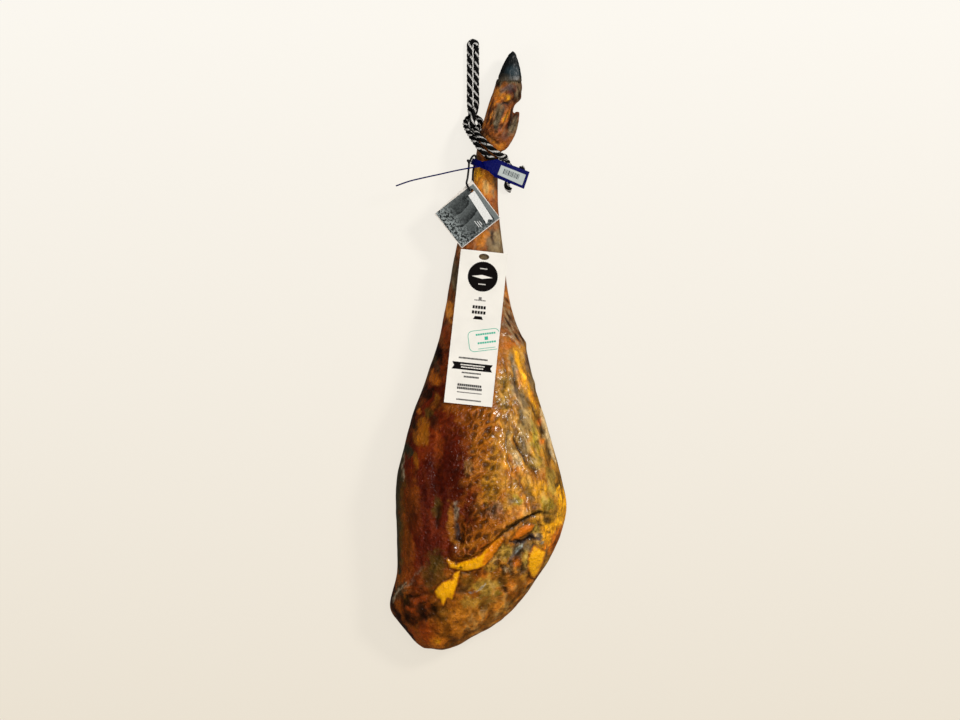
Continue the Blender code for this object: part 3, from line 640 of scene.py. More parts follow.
def ridged_noise(points, size, seed, octaves=3):
    """Noise with sharp crests, like wrinkles, from about 0 to 1."""
    places = (points / np.array(size, float) + seed * 5.17).tolist()
    values = np.array([noise.ridged_multi_fractal(place, 1.0, 2.0, octaves, 1.0, 1.5) for place in places])
    return np.clip(values / 2.2, 0.0, 1.0)


def turned(points, degrees):
    """The points turned about Z, so that noise can run along a direction."""
    angle = math.radians(degrees)
    across = points[:, 0] * math.cos(angle) + points[:, 1] * math.sin(angle)
    along = points[:, 1] * math.cos(angle) - points[:, 0] * math.sin(angle)
    return np.column_stack((across, along, points[:, 2]))


def path_distance(x, y, path):
    """Signed distance to a path, positive on its left, and how far along it the nearest point is."""
    best = np.full(len(x), 1e9)
    signed = np.full(len(x), 1e9)
    along = np.zeros(len(x))
    for index in range(len(path) - 1):
        start = np.array(path[index], float)
        run = np.array(path[index + 1], float) - start
        from_x = x - start[0]
        from_y = y - start[1]
        share = np.clip((from_x * run[0] + from_y * run[1]) / (run @ run), 0.0, 1.0)
        away_x = from_x - share * run[0]
        away_y = from_y - share * run[1]
        distance = np.hypot(away_x, away_y)
        nearer = distance < best
        side = np.where(run[0] * from_y - run[1] * from_x < 0, -1.0, 1.0)
        signed = np.where(nearer, distance * side, signed)
        along = np.where(nearer, (index + share) / (len(path) - 1), along)
        best = np.where(nearer, distance, best)
    return signed, along


def band_mask(x, y, path, half_width, ragged=0.0):
    """1 on the path, falling to 0 a little past its half width, with ends that taper."""
    distance, along = path_distance(x, y, path)
    taper = 0.45 + 0.55 * np.minimum(smooth_step(0.0, 0.3, along), smooth_step(1.0, 0.7, along))
    return 1 - smooth_step(0.6, 1.3, np.abs(distance) / (half_width * taper) + ragged)


def patch_mask(x, y, centre_x, centre_y, radius_x, radius_y, turn, ragged=0.0):
    """1 in the middle of an ellipse, falling to 0 round its edge, which noise can make ragged."""
    angle = math.radians(turn)
    from_x = x - centre_x
    from_y = y - centre_y
    across = from_x * math.cos(angle) + from_y * math.sin(angle)
    along = from_y * math.cos(angle) - from_x * math.sin(angle)
    reach = np.hypot(across / radius_x, along / radius_y)
    return 1 - smooth_step(0.6, 1.2, reach + ragged)


def leg_edges(points):
    """How far across the leg each point is, from -1 at its left edge to 1 at its right."""
    step = 8.0
    rows = np.floor(points[:, 1] / step).astype(int)
    low = rows.min()
    rows -= low
    count = rows.max() + 1
    left = np.full(count, 1e9)
    right = np.full(count, -1e9)
    np.minimum.at(left, rows, points[:, 0])
    np.maximum.at(right, rows, points[:, 0])
    places = (np.arange(count) + low + 0.5) * step
    left = np.interp(points[:, 1], places, left)
    right = np.interp(points[:, 1], places, right)
    return (points[:, 0] - (left + right) / 2) / np.maximum((right - left) / 2, 1.0)


def outline_depth(x, y, outline):
    """How far inside an outline of (x, y) points each point lies; negative outside it."""
    inside = np.zeros(len(x), bool)
    distance = np.full(len(x), 1e9)
    for step in range(len(outline)):
        start = np.array(outline[step], float)
        end = np.array(outline[(step + 1) % len(outline)], float)
        run = end - start
        crosses = (start[1] > y) != (end[1] > y)
        rise = run[1] if abs(run[1]) > 1e-9 else 1e-9
        inside ^= crosses & (x < start[0] + run[0] * (y - start[1]) / rise)
        share = np.clip(((x - start[0]) * run[0] + (y - start[1]) * run[1]) / (run @ run), 0.0, 1.0)
        away = np.hypot(x - start[0] - share * run[0], y - start[1] - share * run[1])
        distance = np.minimum(distance, away)
    return np.where(inside, distance, -distance)


def leg_relief(points, normals, across):
    """Height to add along each normal, the fine part of it, how wrinkled each point is, and how dark its
    creases are painted, as crust and painted shade.
    """
    x, y = points[:, 0], points[:, 1]
    shown = smooth_step(-0.1, 0.35, normals[:, 2])
    wide = smooth_step(*RELIEF_BODY, y)
    sway = soft_noise(points, (22, 22, 22), 3) * 3.5
    jog = soft_noise(points, (8, 8, 8), 4) * 1.2
    height = np.zeros(len(points))
    distance, along = path_distance(x + sway * 0.3, y + sway * 0.3, LIP_PATH)
    ends = smooth_step(0.0, 0.12, along) * smooth_step(1.0, 0.8, along)
    for lift, off_path, reach in LIP_ROLLS:
        height += ends * lift * np.exp(-((distance - off_path) / reach) ** 2)
    bare = np.zeros(len(points))
    for _, _, outline in OUTLINED:
        depth = outline_depth(x + jog * 0.5, y + jog * 0.4, outline)
        bare = np.maximum(bare, smooth_step(-1.5, 2.0, depth))
        height += 2.6 * smooth_step(-2.0, 7.0, depth) - 0.9 * np.exp(-((depth + 1.8) / 1.6) ** 2)
    height -= 3.6 * patch_mask(x, y, *HOLLOW)
    height += 2.0 * band_mask(x, y, HOLLOW_RIM, 3.4)
    height += 1.6 * patch_mask(x, y, *KNUCKLE)
    skin, _ = path_distance(x + sway * 0.5, y, SKIN_EDGE)
    height += 1.4 * smooth_step(-1.5, 1.5, skin) * np.exp(-(skin / 14) ** 2)
    crease_crust_and_shade = np.zeros(len(points))
    for path, half_width, depth, dark in CREASES:
        distance, along = path_distance(x + sway * 0.7 + jog, y + sway * 0.5, path)
        ends = smooth_step(0.0, 0.2, along) * smooth_step(1.0, 0.75, along)
        crease = ends * np.exp(-(distance / half_width) ** 2)
        height -= depth * crease
        crease_crust_and_shade = np.maximum(crease_crust_and_shade, dark * crease)
    middle = smooth_step(-0.42, 0.0, across) * smooth_step(0.8, 0.4, across)
    right = smooth_step(0.2, 0.5, across)
    low = smooth_step(*LOBE, y)
    shank = smooth_step(*SHANK, y)
    rough_part = (1 - bare) * wide
    zones = {"middle": middle * rough_part, "right": right * rough_part, "low": low * (1 - bare),
             "butt": patch_mask(x, y, *BUTT), "shank": shank, "foot": smooth_step(*FOOT, y),
             "hatched": patch_mask(x, y, *HATCHED_SKIN)}
    left = smooth_step(-0.25, -0.5, across)
    fine = 0.6 * left * rough_part * soft_noise(turned(points, 6), (13, 40, 24), 5, 3)
    for zone, strength, turn, size, seed, octaves, level in WRINKLES:
        fine += strength * zones[zone] * (ridged_noise(turned(points, turn), size, seed, octaves) - level)
    fine *= smooth_step(-0.05, 0.5, normals[:, 2])
    height = height * shown + fine
    height += 0.8 * (1 - shown) * soft_noise(points, (22, 36, 22), 29, 3)
    calm = soft_noise(points, (26, 34, 26), 33, 2)
    wrinkled = 0.3 + 0.7 * np.maximum(middle, right) * wide + 0.25 * shank + 0.3 * low + 0.25 * calm
    wrinkled = np.clip(wrinkled * (1 - 0.85 * bare) * (1 - 0.75 * low), 0.04, 1)
    return height, fine, wrinkled, crease_crust_and_shade * shown


# Where the outline swells past the CAD solid: x, y, radius and push in millimetres
SWELLS = (
    (86, -290, 22, 3.0), (60, -318, 24, 3.2), (34, -343, 24, 3.6), (4, -366, 24, 3.8), (-28, -386, 22, 5.5),
    (-50, -398, 12, 3.5), (54, 337, 8, 4.5), (54, 320, 5, 2.5), (63, 9, 7, 2.6), (77, -44, 6, 1.6),
)


def swell(points):
    """Extra height along the normal, to meet the outline of the real leg."""
    height = np.zeros(len(points))
    for x, y, radius, push in SWELLS:
        away = np.hypot(points[:, 0] - x, points[:, 1] - y) / radius
        height += push * np.exp(-away ** 2)
    return height


# Where the cards lie over the leg, in millimetres: the label's ends from none to full, its middle line as
# x at y = 0 and lean, its half width from none to full, and the tag's ends
LABEL_ENDS = ((-84, -66), (146, 132))
LABEL_LINE = (-5.33, 0.111)
LABEL_SIDES = (42, 32)
TAG_ENDS = ((128, 140), (236, 222))


def under_label(points):
    """1 where the cards lie close over the leg and the relief has to stay low."""
    x, y = points[:, 0], points[:, 1]
    at_zero, lean = LABEL_LINE
    label = smooth_step(*LABEL_ENDS[0], y) * smooth_step(*LABEL_ENDS[1], y)
    label *= smooth_step(*LABEL_SIDES, np.abs(x - at_zero - lean * y))
    tag = smooth_step(*TAG_ENDS[0], y) * smooth_step(*TAG_ENDS[1], y)
    return np.clip(label + tag, 0, 1)


class Paint:
    """The leg's colour at each point, laid on in coats"""

    def __init__(self, settings, count, ground):
        self.settings = settings
        self.colour = np.tile(self.tone(ground), (count, 1))

    def tone(self, name):
        return np.array(getattr(self.settings, name))

    def lay(self, mask, name, strength=1.0):
        """Lay one of the settings' colours on where the mask says."""
        share = np.clip(mask * strength, 0, 1)[:, None]
        self.colour = self.colour * (1 - share) + self.tone(name) * share


def paint_skin(lay, points, seed):
    """The skin's own tints, all round the leg."""
    lay(smooth_step(0.0, 0.5, soft_noise(points, (40, 60, 40), 43, 3)), "grey_skin", 0.8)
    lay(smooth_step(0.1, 0.6, soft_noise(points, (22, 30, 22), 47 + seed, 3)), "olive_brown", 0.7)
    lay(smooth_step(0.2, 0.6, soft_noise(points, (30, 44, 30), 53, 3)), "tan_skin", 0.5)


def paint_body(lay, points, x, y, spread, wide, ragged, seed):
    """The shown side's meat and fat film: broad zones, patches, the lobe, streaks, blotches and bands."""
    lay(wide, "brown_meat")
    for start, full, name, strength in ZONES:
        lay(wide * smooth_step(start, full, spread), name, strength)
    lay(smooth_step(-285, -300, y), "brown_meat", 0.8)
    for *place, name, strength in PATCHES:
        lay(patch_mask(x, y, *place, ragged), name, strength)
    lobe = smooth_step(-288, -308, y) * smooth_step(-0.42, -0.12, spread)
    cracks = ridged_noise(turned(points, 35), (13, 24, 13), 73 + seed)
    lay(lobe, "amber", 0.34)
    lay(lobe * smooth_step(0.66, 0.8, cracks), "black_crust", 0.6)
    middle = wide * smooth_step(-0.2, 0.0, spread) * smooth_step(0.5, 0.3, spread)
    lay(middle * (1 - lobe), "tan_skin", 0.2)
    streaks = soft_noise(turned(points, 4), (12, 34, 18), 57 + seed, 3)
    left = wide * smooth_step(-0.2, -0.5, spread)
    lay(left * smooth_step(0.1, 0.5, streaks), "black_crust", 0.3)
    lay(left * smooth_step(0.1, 0.5, -streaks), "rust", 0.25)
    blotches = soft_noise(turned(points, 16), (11, 26, 12), 61 + seed, 3)
    right = wide * smooth_step(0.2, 0.45, spread)
    lay(right * smooth_step(0.1, 0.5, blotches), "olive_brown", 0.5)
    lay(right * smooth_step(0.15, 0.5, -blotches), "pale_gold", 0.4)
    for path, half_width, name, strength in BANDS:
        lay(band_mask(x, y, path, half_width, ragged), name, strength)


def paint_fat(lay, points, x, y, ragged, seed):
    """Bare fat and meat, with a dark rim of painted shade in the groove round it and a burnt edge; gives how
    bare each point is.
    """
    bare = np.zeros(len(points))
    for name, strength, outline in OUTLINED:
        depth = outline_depth(x, y, outline)
        # Painted shade: a dark ring in the groove just outside each outline
        lay(np.exp(-((depth + 1.4) / 1.3) ** 2), "black_crust", 0.6)
        lay(smooth_step(-0.8, 0.4, depth), "burnt_fat", strength)
        lay(smooth_step(0.0, 2.0, depth + ragged * 1.6), name, strength)
        bare = np.maximum(bare, smooth_step(-0.9, 0.9, depth))
    for spot in FAT_SPOTS:
        lay(patch_mask(x, y, *spot, 0), "black_crust", 0.9)
    lay(bare * band_mask(x, y, *ORANGE_FAT), "deep_fat", 0.85)
    lay(bare * smooth_step(0.1, 0.6, soft_noise(points, (12, 16, 12), 67 + seed, 2)), "burnt_fat", 0.35)
    return bare


def paint_hatched_skin(lay, points, x, y, ragged):
    """The long slanted wrinkles beside the label: pale crests and black grooves from the same noise as their
    relief, as painted light and painted shade.
    """
    hatched = patch_mask(x, y, *HATCHED_SKIN, ragged)
    turn, size, seed = HATCHES
    hatches = ridged_noise(turned(points, turn), size, seed)
    lay(hatched, "brown_skin", 0.5)
    # Painted light on the crests and painted shade in the grooves
    lay(hatched * smooth_step(0.5, 0.7, hatches), "pale_skin", 0.9)
    lay(hatched * smooth_step(0.45, 0.25, hatches), "black_crust", 0.85)


def paint_leg(points, placed, normals, across, fine, crease_crust_and_shade, settings, layer):
    """One of the leg's two colour layers and its gloss at each point."""
    seed = layer * 100
    grain = soft_noise(points, (17, 22, 17), 31 + seed, 2)
    jitter = soft_noise(points, (5, 6, 5), 37 + seed, 2)
    ragged = soft_noise(points, (8, 10, 8), 39 + seed, 3) * 0.6
    foot = smooth_step(*FOOT, placed[:, 1])
    free = 1 - 0.65 * foot
    x = placed[:, 0] + (grain * 2.5 + jitter * 1.4) * free
    y = placed[:, 1] + (soft_noise(points, (19, 19, 19), 41 + seed, 2) * 2.5 - jitter * 1.4) * free
    spread = across + grain * 0.1
    wide = smooth_step(*PAINT_BODY, y)
    paint = Paint(settings, len(points), "brown_skin")
    paint_skin(paint.lay, points, seed)
    hidden_colour = paint.colour
    paint_body(paint.lay, points, x, y, spread, wide, ragged, seed)
    near_x = placed[:, 0] + jitter * 1.8
    near_y = placed[:, 1] - grain * 1.8
    bare = paint_fat(paint.lay, points, near_x, near_y, ragged, seed)
    paint_hatched_skin(paint.lay, points, x, y, ragged)
    limb = smooth_step(*LIMB, points[:, 1])
    crusts = soft_noise(points, (7, 12, 7), 69 + seed, 4)
    paint.lay(limb * smooth_step(0.12, 0.4, crusts) * (0.25 + 0.2 * foot), "black_crust")
    paint.lay(limb * smooth_step(0.25, 0.5, -crusts), "pale_skin", 0.3)
    # The creases darkened with the black crust's colour: dark crust in them and painted shade
    paint.lay(crease_crust_and_shade, "black_crust")
    # Painted shade in the hollows of the fine relief and painted light on its crests, weaker on bare fat and
    # on the limb
    relief_light_and_shade = np.clip(fine / RELIEF_SHADE_DEPTH, -1.0, 1.0) * (1 - bare * 0.7) * (1 - 0.5 * limb)
    shaded = paint.colour * (1 + 0.5 * relief_light_and_shade[:, None])
    shown = smooth_step(-0.35, 0.05, normals[:, 2])
    mixed = hidden_colour * (1 - shown[:, None]) + shaded * shown[:, None]
    moist = smooth_step(-0.5, -0.2, spread) * smooth_step(0.95, 0.6, spread) * wide
    gloss = 0.7 + 0.2 * moist + 0.1 * bare + 0.15 * smooth_step(*LOBE, y) + 0.12 * grain
    gloss -= 0.5 * limb + 0.35 * smooth_step(0.15, 0.5, spread) * wide
    return np.clip(mixed, 0.0005, 1), np.clip(gloss * shown + HIDDEN_GLOSS * (1 - shown), 0, 1)


def store_colour(mesh, name, colours):
    values = np.ones((len(mesh.vertices), 4))
    values[:, :3] = colours
    layer = mesh.color_attributes.new(name, "FLOAT_COLOR", "POINT")
    layer.data.foreach_set("color", values.ravel())


class Surface:
    """A material in the making: its Principled shader, and short calls for the nodes that repeat."""

    def __init__(self, name):
        self.material = bpy.data.materials.new(name)
        self.material.use_nodes = True
        self.tree = self.material.node_tree
        self.shader = self.tree.nodes["Principled BSDF"]
        self.place = self.add("ShaderNodeTexCoord").outputs["Object"]

    def feed(self, item, inputs):
        """Link sockets into a node's inputs, and set its other inputs to the values given."""
        for key, value in inputs.items():
            if isinstance(value, bpy.types.NodeSocket):
                self.tree.links.new(value, item.inputs[key])
            else:
                item.inputs[key].default_value = value

    def add(self, kind, inputs=None, **settings):
        item = self.tree.nodes.new(kind)
        for name, value in settings.items():
            setattr(item, name, value)
        self.feed(item, inputs or {})
        return item

    def painted(self, layer, output="Color"):
        """One of the mesh's colour layers."""
        return self.add("ShaderNodeAttribute", attribute_name=layer).outputs[output]

    def noise(self, place, size_mm, detail, roughness=0.5, distortion=0.0):
        """Noise with lumps of this size on Object coordinates."""
        inputs = {"Vector": place, "Scale": per_metre(size_mm), "Detail": detail, "Roughness": roughness,
                  "Distortion": distortion}
        return self.add("ShaderNodeTexNoise", inputs).outputs["Fac"]

    def span(self, value, low, high, to_low=0.0, to_high=1.0):
        """A value carried from one range to another and held at its ends."""
        return self.add("ShaderNodeMapRange", {"Value": value, 1: low, 2: high, 3: to_low,
                                               4: to_high}).outputs["Result"]

    def maths(self, operation, first, second=0.0, third=0.0):
        return self.add("ShaderNodeMath", {0: first, 1: second, 2: third}, operation=operation).outputs[0]

    def blend(self, share, first, second):
        """Two values mixed."""
        return self.add("ShaderNodeMix", {0: share, 2: first, 3: second}, data_type="FLOAT").outputs[0]

    def mix(self, share, first, second, mode="MIX"):
        """Two colours mixed, or the first one multiplied by the second."""
        return self.add("ShaderNodeMix", {0: share, 6: first, 7: second}, data_type="RGBA",
                        blend_type=mode).outputs[2]

    def greys(self, value, *stops):
        """A colour ramp from (place, grey value) stops."""
        item = self.add("ShaderNodeValToRGB", {"Fac": value})
        ramp = item.color_ramp
        while len(ramp.elements) > 1:
            ramp.elements.remove(ramp.elements[-1])
        for index, (place, grey) in enumerate(stops):
            stop = ramp.elements[0] if index == 0 else ramp.elements.new(place)
            stop.position = place
            stop.color = (grey, grey, grey, 1.0)
        return item.outputs["Color"]

    def bump(self, height, strength, depth_mm):
        return self.add("ShaderNodeBump", {"Strength": strength, "Distance": depth_mm * MM,
                                           "Height": height}).outputs["Normal"]

    def finished(self, inputs):
        """The material, with these sockets and values on its shader."""
        self.feed(self.shader, inputs)
        return self.material


def per_metre(millimetres):
    """Texture scale that gives features of this size on Object coordinates."""
    return 1.0 / (millimetres * MM)


def rgba(colour):
    return (*colour, 1.0)


# Wrinkles of the skin's shading: size in millimetres, and the part of the noise's range that they take
CRINKLE_SIZE = 7.5
CRINKLE_RANGE = (0.3, 1.3)
# How far noise bends the wrinkles' places, in metres
CRINKLE_WARP = 0.008


def crinkle_lines(surface, place, turn, stretch, low, high):
    """Sharp wrinkles that run along one direction: raised crests, or creases where low is above high."""
    lines = surface.add("ShaderNodeMapping", {"Vector": place, "Rotation": (0, 0, math.radians(turn)),
                                              "Scale": (1.0, stretch, 1.0)}, vector_type="TEXTURE")
    ridges = surface.add("ShaderNodeTexNoise",
                         {"Vector": lines.outputs["Vector"], "Scale": per_metre(CRINKLE_SIZE), "Detail": 1.0,
                          "Roughness": 0.5, "Offset": 0.9, "Gain": 1.6}, noise_type="RIDGED_MULTIFRACTAL")
    return surface.span(ridges.outputs["Fac"], *CRINKLE_RANGE, low, high)


def cured_surface():
    """Air-dried pork rubbed with oil: leathery skin with sharp wrinkles, greasy glints, and painted shade in
    the grooves with painted light on the crests.
    """
    pork = Surface("air_dried_cured_pork")
    crest, groove, finish = (pork.painted(layer) for layer in (TONE, GROOVE_TONE, FINISH))
    gloss, wrinkled, folded = pork.add("ShaderNodeSeparateColor", {"Color": finish}).outputs
    warp = pork.noise(pork.place, 16, 2.0).node.outputs["Color"]
    bent = pork.add("ShaderNodeVectorMath", {0: warp, 1: (CRINKLE_WARP,) * 3, 2: pork.place},
                    operation="MULTIPLY_ADD").outputs[0]
    crossed = crinkle_lines(pork, bent, -40, 1.7, 0.0, 1.0)
    upright = crinkle_lines(pork, bent, 14, 2.8, 1.0, 0.0)
    crinkle = pork.blend(folded, crossed, upright)
    mottle = pork.noise(bent, 11, 5.0)
    # The groove layer, a copy darkened as painted shade, laid where the mottle's noise is low
    base = pork.mix(pork.span(mottle, 0.4, 0.58), groove, crest)
    # Painted shade in the grooves of the crinkles and painted light on their crests, from the same noise as
    # their bump
    crinkle_light_and_shade = pork.greys(crinkle, (0.0, 0.3), (0.3, 0.88), (0.8, 1.25))
    lined = pork.mix(wrinkled, base, crinkle_light_and_shade, "MULTIPLY")
    cloud_tone = pork.greys(pork.noise(pork.place, 24, 7.0, 0.6), (0.34, 0.5), (0.5, 1.0), (0.66, 1.3))
    clouded = pork.mix(pork.span(wrinkled, 0.0, 0.4, 0.2, 0.6), lined, cloud_tone, "MULTIPLY")
    dull = pork.span(gloss, 0.0, 1.0, 0.56, 0.1)
    beads = pork.span(pork.noise(pork.place, 4, 2.0), 0.45, 0.7, 0.0, 0.3)
    wrinkle_height = pork.maths("MULTIPLY", wrinkled, pork.span(folded, 0.0, 1.0, 1.0, 0.35))
    height = pork.maths("MULTIPLY_ADD", crinkle, wrinkle_height, beads)
    return pork.finished({"Base Color": clouded, "Roughness": pork.maths("MULTIPLY_ADD", mottle, 0.2, dull),
                          "Normal": pork.bump(height, 1.0, 2.4), "IOR": 1.45, "Specular IOR Level": 0.28,
                          "Coat Weight": pork.span(gloss, 0.35, 1.0, 0.0, 0.4), "Coat Roughness": 0.12})


def hoof_collar(points):
    """How much the skin swells round the root of the hoof, to hold the claws."""
    return COLLAR_SWELL * smooth_step(*COLLAR_START, points[:, 1])


def make_leg(settings):
    leg = node_copy("ham", "leg")
    rounder = leg.modifiers.new("rounder", "SUBSURF")
    rounder.levels = rounder.render_levels = 2
    evener = leg.modifiers.new("evener", "REMESH")
    evener.mode = "VOXEL"
    evener.voxel_size = LEG_VOXEL * MM
    softer = leg.modifiers.new("softer", "SMOOTH")
    softer.iterations = LEG_SMOOTHING
    softer.factor = 0.5
    apply_modifiers(leg)
    mesh = leg.data
    points = vertex_array(mesh) / MM
    normals = normal_array(mesh)
    across = leg_edges(points)
    height, fine, wrinkled, crease_crust_and_shade = leg_relief(points, normals, across)
    height = height * settings.relief * (1 - under_label(points)) + hoof_collar(points) + swell(points)
    resting = points[:, 2] < REST_HEIGHT
    moved = points + normals * np.where(resting, 0.0, height)[:, None]
    moved[:, 1] += COLLAR_REACH * smooth_step(*COLLAR_END, points[:, 1])
    ragged = soft_noise(points, (7, 7, 7), 71, 3) * COLLAR_RAGGED
    moved[:, 1] += ragged * smooth_step(COLLAR_END[0] + 1, COLLAR_END[1], points[:, 1])
    moved[:, 2] = np.maximum(moved[:, 2], 0.0)
    mesh.vertices.foreach_set("co", (moved * MM).ravel())
    mesh.update()
    crest, gloss = paint_leg(points, moved, normals, across, fine, crease_crust_and_shade, settings, 0)
    groove, gloss = paint_leg(points, moved, normals, across, fine, crease_crust_and_shade, settings, 1)
    # The second colour layer, painted with other seeds, darkened as painted shade for the grooves, more
    # where the skin is wrinkled
    darker = np.clip(1.1 * wrinkled, 0.15, 1)[:, None]
    groove *= 1 - darker * (1 - np.array(GROOVE_SHADE))
    folded = smooth_step(*FOLDS_ACROSS, across) * smooth_step(*FOLDS_ALONG, points[:, 1])
    store_colour(mesh, TONE, crest)
    store_colour(mesh, GROOVE_TONE, groove)
    store_colour(mesh, FINISH, np.column_stack((gloss, wrinkled, folded)))
    mesh.shade_smooth()
    mesh.materials.append(cured_surface())
    return finish_piece(leg, "cured_meat", "ham")


# Where the claws' ridges begin and are full, in millimetres
CLAW_RIDGES = (359, 364)
# Where the hoof's horn takes over from the skin's brown, and the middle and reach of its bloom, in metres
HORN_START = (0.358, 0.374)
BLOOM_MIDDLE = (0.047, 0.372, 0.046)
BLOOM_REACH = (0.014, 0.002)


def horn_surface(settings):
    """Pig's hoof horn: slate-dark keratin, buffed by handling, with fine lines along its growth."""
    horn = Surface("hoof_horn")
    along = horn.add("ShaderNodeSeparateXYZ", {"Vector": horn.place}).outputs["Y"]
    cloud = horn.noise(horn.place, 11, 5.0, 0.6)
    edge = horn.maths("MULTIPLY_ADD", cloud, 0.9, horn.span(along, *HORN_START))
    away = horn.add("ShaderNodeVectorMath", {0: horn.place, 1: BLOOM_MIDDLE}, operation="DISTANCE")
    bloom = horn.maths("MULTIPLY", horn.span(away.outputs["Value"], *BLOOM_REACH), cloud)
    base = horn.mix(horn.span(edge, 0.65, 1.15), rgba(settings.root), rgba(settings.horn))
    bloomed = horn.mix(bloom, base, rgba(settings.bloom))
    grown = horn.add("ShaderNodeMapping", {"Vector": horn.place, "Scale": (1.0, 0.12, 1.0)})
    lines = horn.noise(grown.outputs["Vector"], 1.6, 4.0)
    lined = horn.mix(0.6, bloomed, horn.greys(lines, (0.3, 0.55), (0.7, 1.3)), "MULTIPLY")
    return horn.finished({"Base Color": lined, "Roughness": horn.span(cloud, 0.0, 1.0, 0.3, 0.6),
                          "Normal": horn.bump(lines, 0.5, 0.6), "IOR": 1.55})


def make_hoof(settings):
    horn = horn_surface(settings)
    for node, name, seed in (("hoof_claw_upper", "claw_upper", 61), ("hoof_claw_lower", "claw_lower", 67)):
        claw = node_copy(node, name)
        rounder = claw.modifiers.new("rounder", "SUBSURF")
        rounder.subdivision_type = "CATMULL_CLARK"
        rounder.levels = rounder.render_levels = 3
        apply_modifiers(claw)
        mesh = claw.data
        points = vertex_array(mesh) / MM
        normals = normal_array(mesh)
        ridges = soft_noise(points, (3.5, 30, 3.5), seed, 2) * 0.5
        ridges += soft_noise(points, (30, 4, 30), seed + 1) * 0.35
        root = smooth_step(*CLAW_RIDGES, points[:, 1])
        moved = points + normals * (ridges * root)[:, None]
        mesh.vertices.foreach_set("co", (moved * MM).ravel())
        mesh.update()
        mesh.shade_smooth()
        mesh.materials.append(horn)
        finish_piece(claw, "hoof_horn", node)


# The rope's route repeats the CAD route, in millimetres
ROPE_ROUTE = (
    (44, 213.5, 4.6), (40.3, 215.4, 5.0), (38.0, 220.5, 7.8), (40.2, 226, 12.0), (45.2, 230.2, 14.2),
    (49.2, 237.4, 9.6), (43.5, 243.8, 4.7), (38, 249.8, 4.6), (33, 255.5, 5.2), (27, 262, 5.8),
    (20.5, 269.5, 6.0), (13.5, 277, 6.4), (7.4, 284.4, 8.2), (1.2, 290.6, 12.2), (-4.4, 295.3, 16),
    (-7.6, 301, 20.5), (-8.2, 307, 22.6), (-6.6, 313.5, 21.8), (-4.4, 321, 17.6), (-3, 329.5, 10.4),
    (-3.1, 338, 5.2), (-3.1, 350, 4.4), (-3.1, 366, 4.4), (-3.1, 384, 4.4), (-3.1, 400, 4.4),
    (-3.15, 409, 4.4), (-4.4, 412, 4.4), (-7.45, 413.3, 4.4), (-10.5, 412, 4.4), (-11.75, 409, 4.4),
    (-11.8, 400, 4.4), (-11.8, 384, 4.4), (-11.8, 366, 4.4), (-11.8, 350, 4.4), (-11.8, 338, 4.5),
    (-11.6, 329.5, 6.0), (-10.9, 320.5, 10.1), (-9.5, 313, 13.3), (-8.6, 306, 13.4), (-8.2, 298.5, 9.4),
    (-5.6, 288.4, 5.8), (0, 278.8, 4.8), (6.3, 270, 4.9), (12.5, 262.6, 5.4), (18.2, 256.8, 6.8),
    (23.8, 252.6, 10.6), (28.4, 250.4, 19.3), (31.3, 250, 30), (31, 249.8, 40), (27.6, 250.6, 48.2),
    (21.7, 253, 53.8), (14.5, 257.5, 56.5), (8, 263, 57.2), (2, 269.5, 55.4), (-3.7, 277, 50),
    (-8.4, 284, 42), (-12.6, 291, 32.5), (-16, 297.6, 23), (-17.4, 303.5, 14), (-14.8, 309.3, 7),
    (-8, 312.8, 4.5), (-1.0, 310, 7), (3, 305.6, 12.6), (2.2, 301.6, 19.2), (-0.2, 297.6, 26.6),
    (-2.2, 294, 34.5), (-2.4, 290.4, 43), (0.3, 285.8, 51.8), (6, 279.8, 58.2), (12.4, 273.2, 60.9),
    (19.4, 267, 60.2), (26, 262.2, 56.6), (31.6, 259.2, 50), (34.9, 258.2, 41), (35.6, 257.6, 31),
    (36.4, 255.2, 22.4), (38.8, 250.4, 16.4), (40.6, 243.4, 13.9), (38.8, 235.6, 9.4), (45.0, 230.2, 4.4),
    (51.8, 230.2, 4.4), (57, 234, 4.5), (58.8, 240, 4.5), (57.4, 246.5, 4.5),
)
STRING_ROUTE = (
    (-10.4, 254.6, 53.6), (-8.4, 258, 54.2), (-5.4, 260, 52.8), (-3.6, 257.5, 50.8), (-3.8, 252.5, 49.6),
    (-5.6, 246.6, 49.4), (-7.0, 240, 50.2), (-7.6, 232, 51.6), (-7.8, 224, 52.0), (-8.4, 217, 51.8),
    (-9.4, 213, 54.8), (-11.2, 213.4, 58.8), (-14.4, 218.4, 59.2), (-16, 223, 56.6), (-14.6, 230, 54),
    (-13.4, 240, 52.4), (-12.9, 246, 52), (-12.8, 249.0, 52),
)
STRING_DIAMETER = 2.8
KNOT_CENTRE = (-12.6, 252, 52)
KNOT_REACH = 1.05
KNOT_STEPS = 72
ROPE_STEP = 1.7
ROPE_SIDES = 16
STRAND_COUNT = 4
# A strand's middle as a share of the rope's radius, how far strands press together, and their tapered ends
STRAND_MIDDLE = 0.59
STRAND_OVERLAP = 1.02
END_TAPERS = (0.55, 0.88)
# The part of a white strand that is painted white, as the cosine of the angle from its crest; past it its
# flanks are painted black, as painted shade between the strands
WHITE_FROM = 0.42
# The yarns' pattern: turns for each millimetre along the strand, and for one way round it
YARNS_ALONG = 0.55
YARNS_ROUND = 6.0


def smooth_route(points, fineness):
    """Points of a smooth curve through the route's own points."""
    route = [Vector(point) for point in points]
    route = [2 * route[0] - route[1]] + route + [2 * route[-1] - route[-2]]
    result = []
    for index in range(1, len(route) - 2):
        before, start, end, after = route[index - 1:index + 3]
        for step in range(fineness):
            t = step / fineness
            result.append(0.5 * (2 * start + (end - before) * t
                                 + (2 * before - 5 * start + 4 * end - after) * t * t
                                 + (3 * start - before - 3 * end + after) * t ** 3))
    result.append(route[-2])
    return result


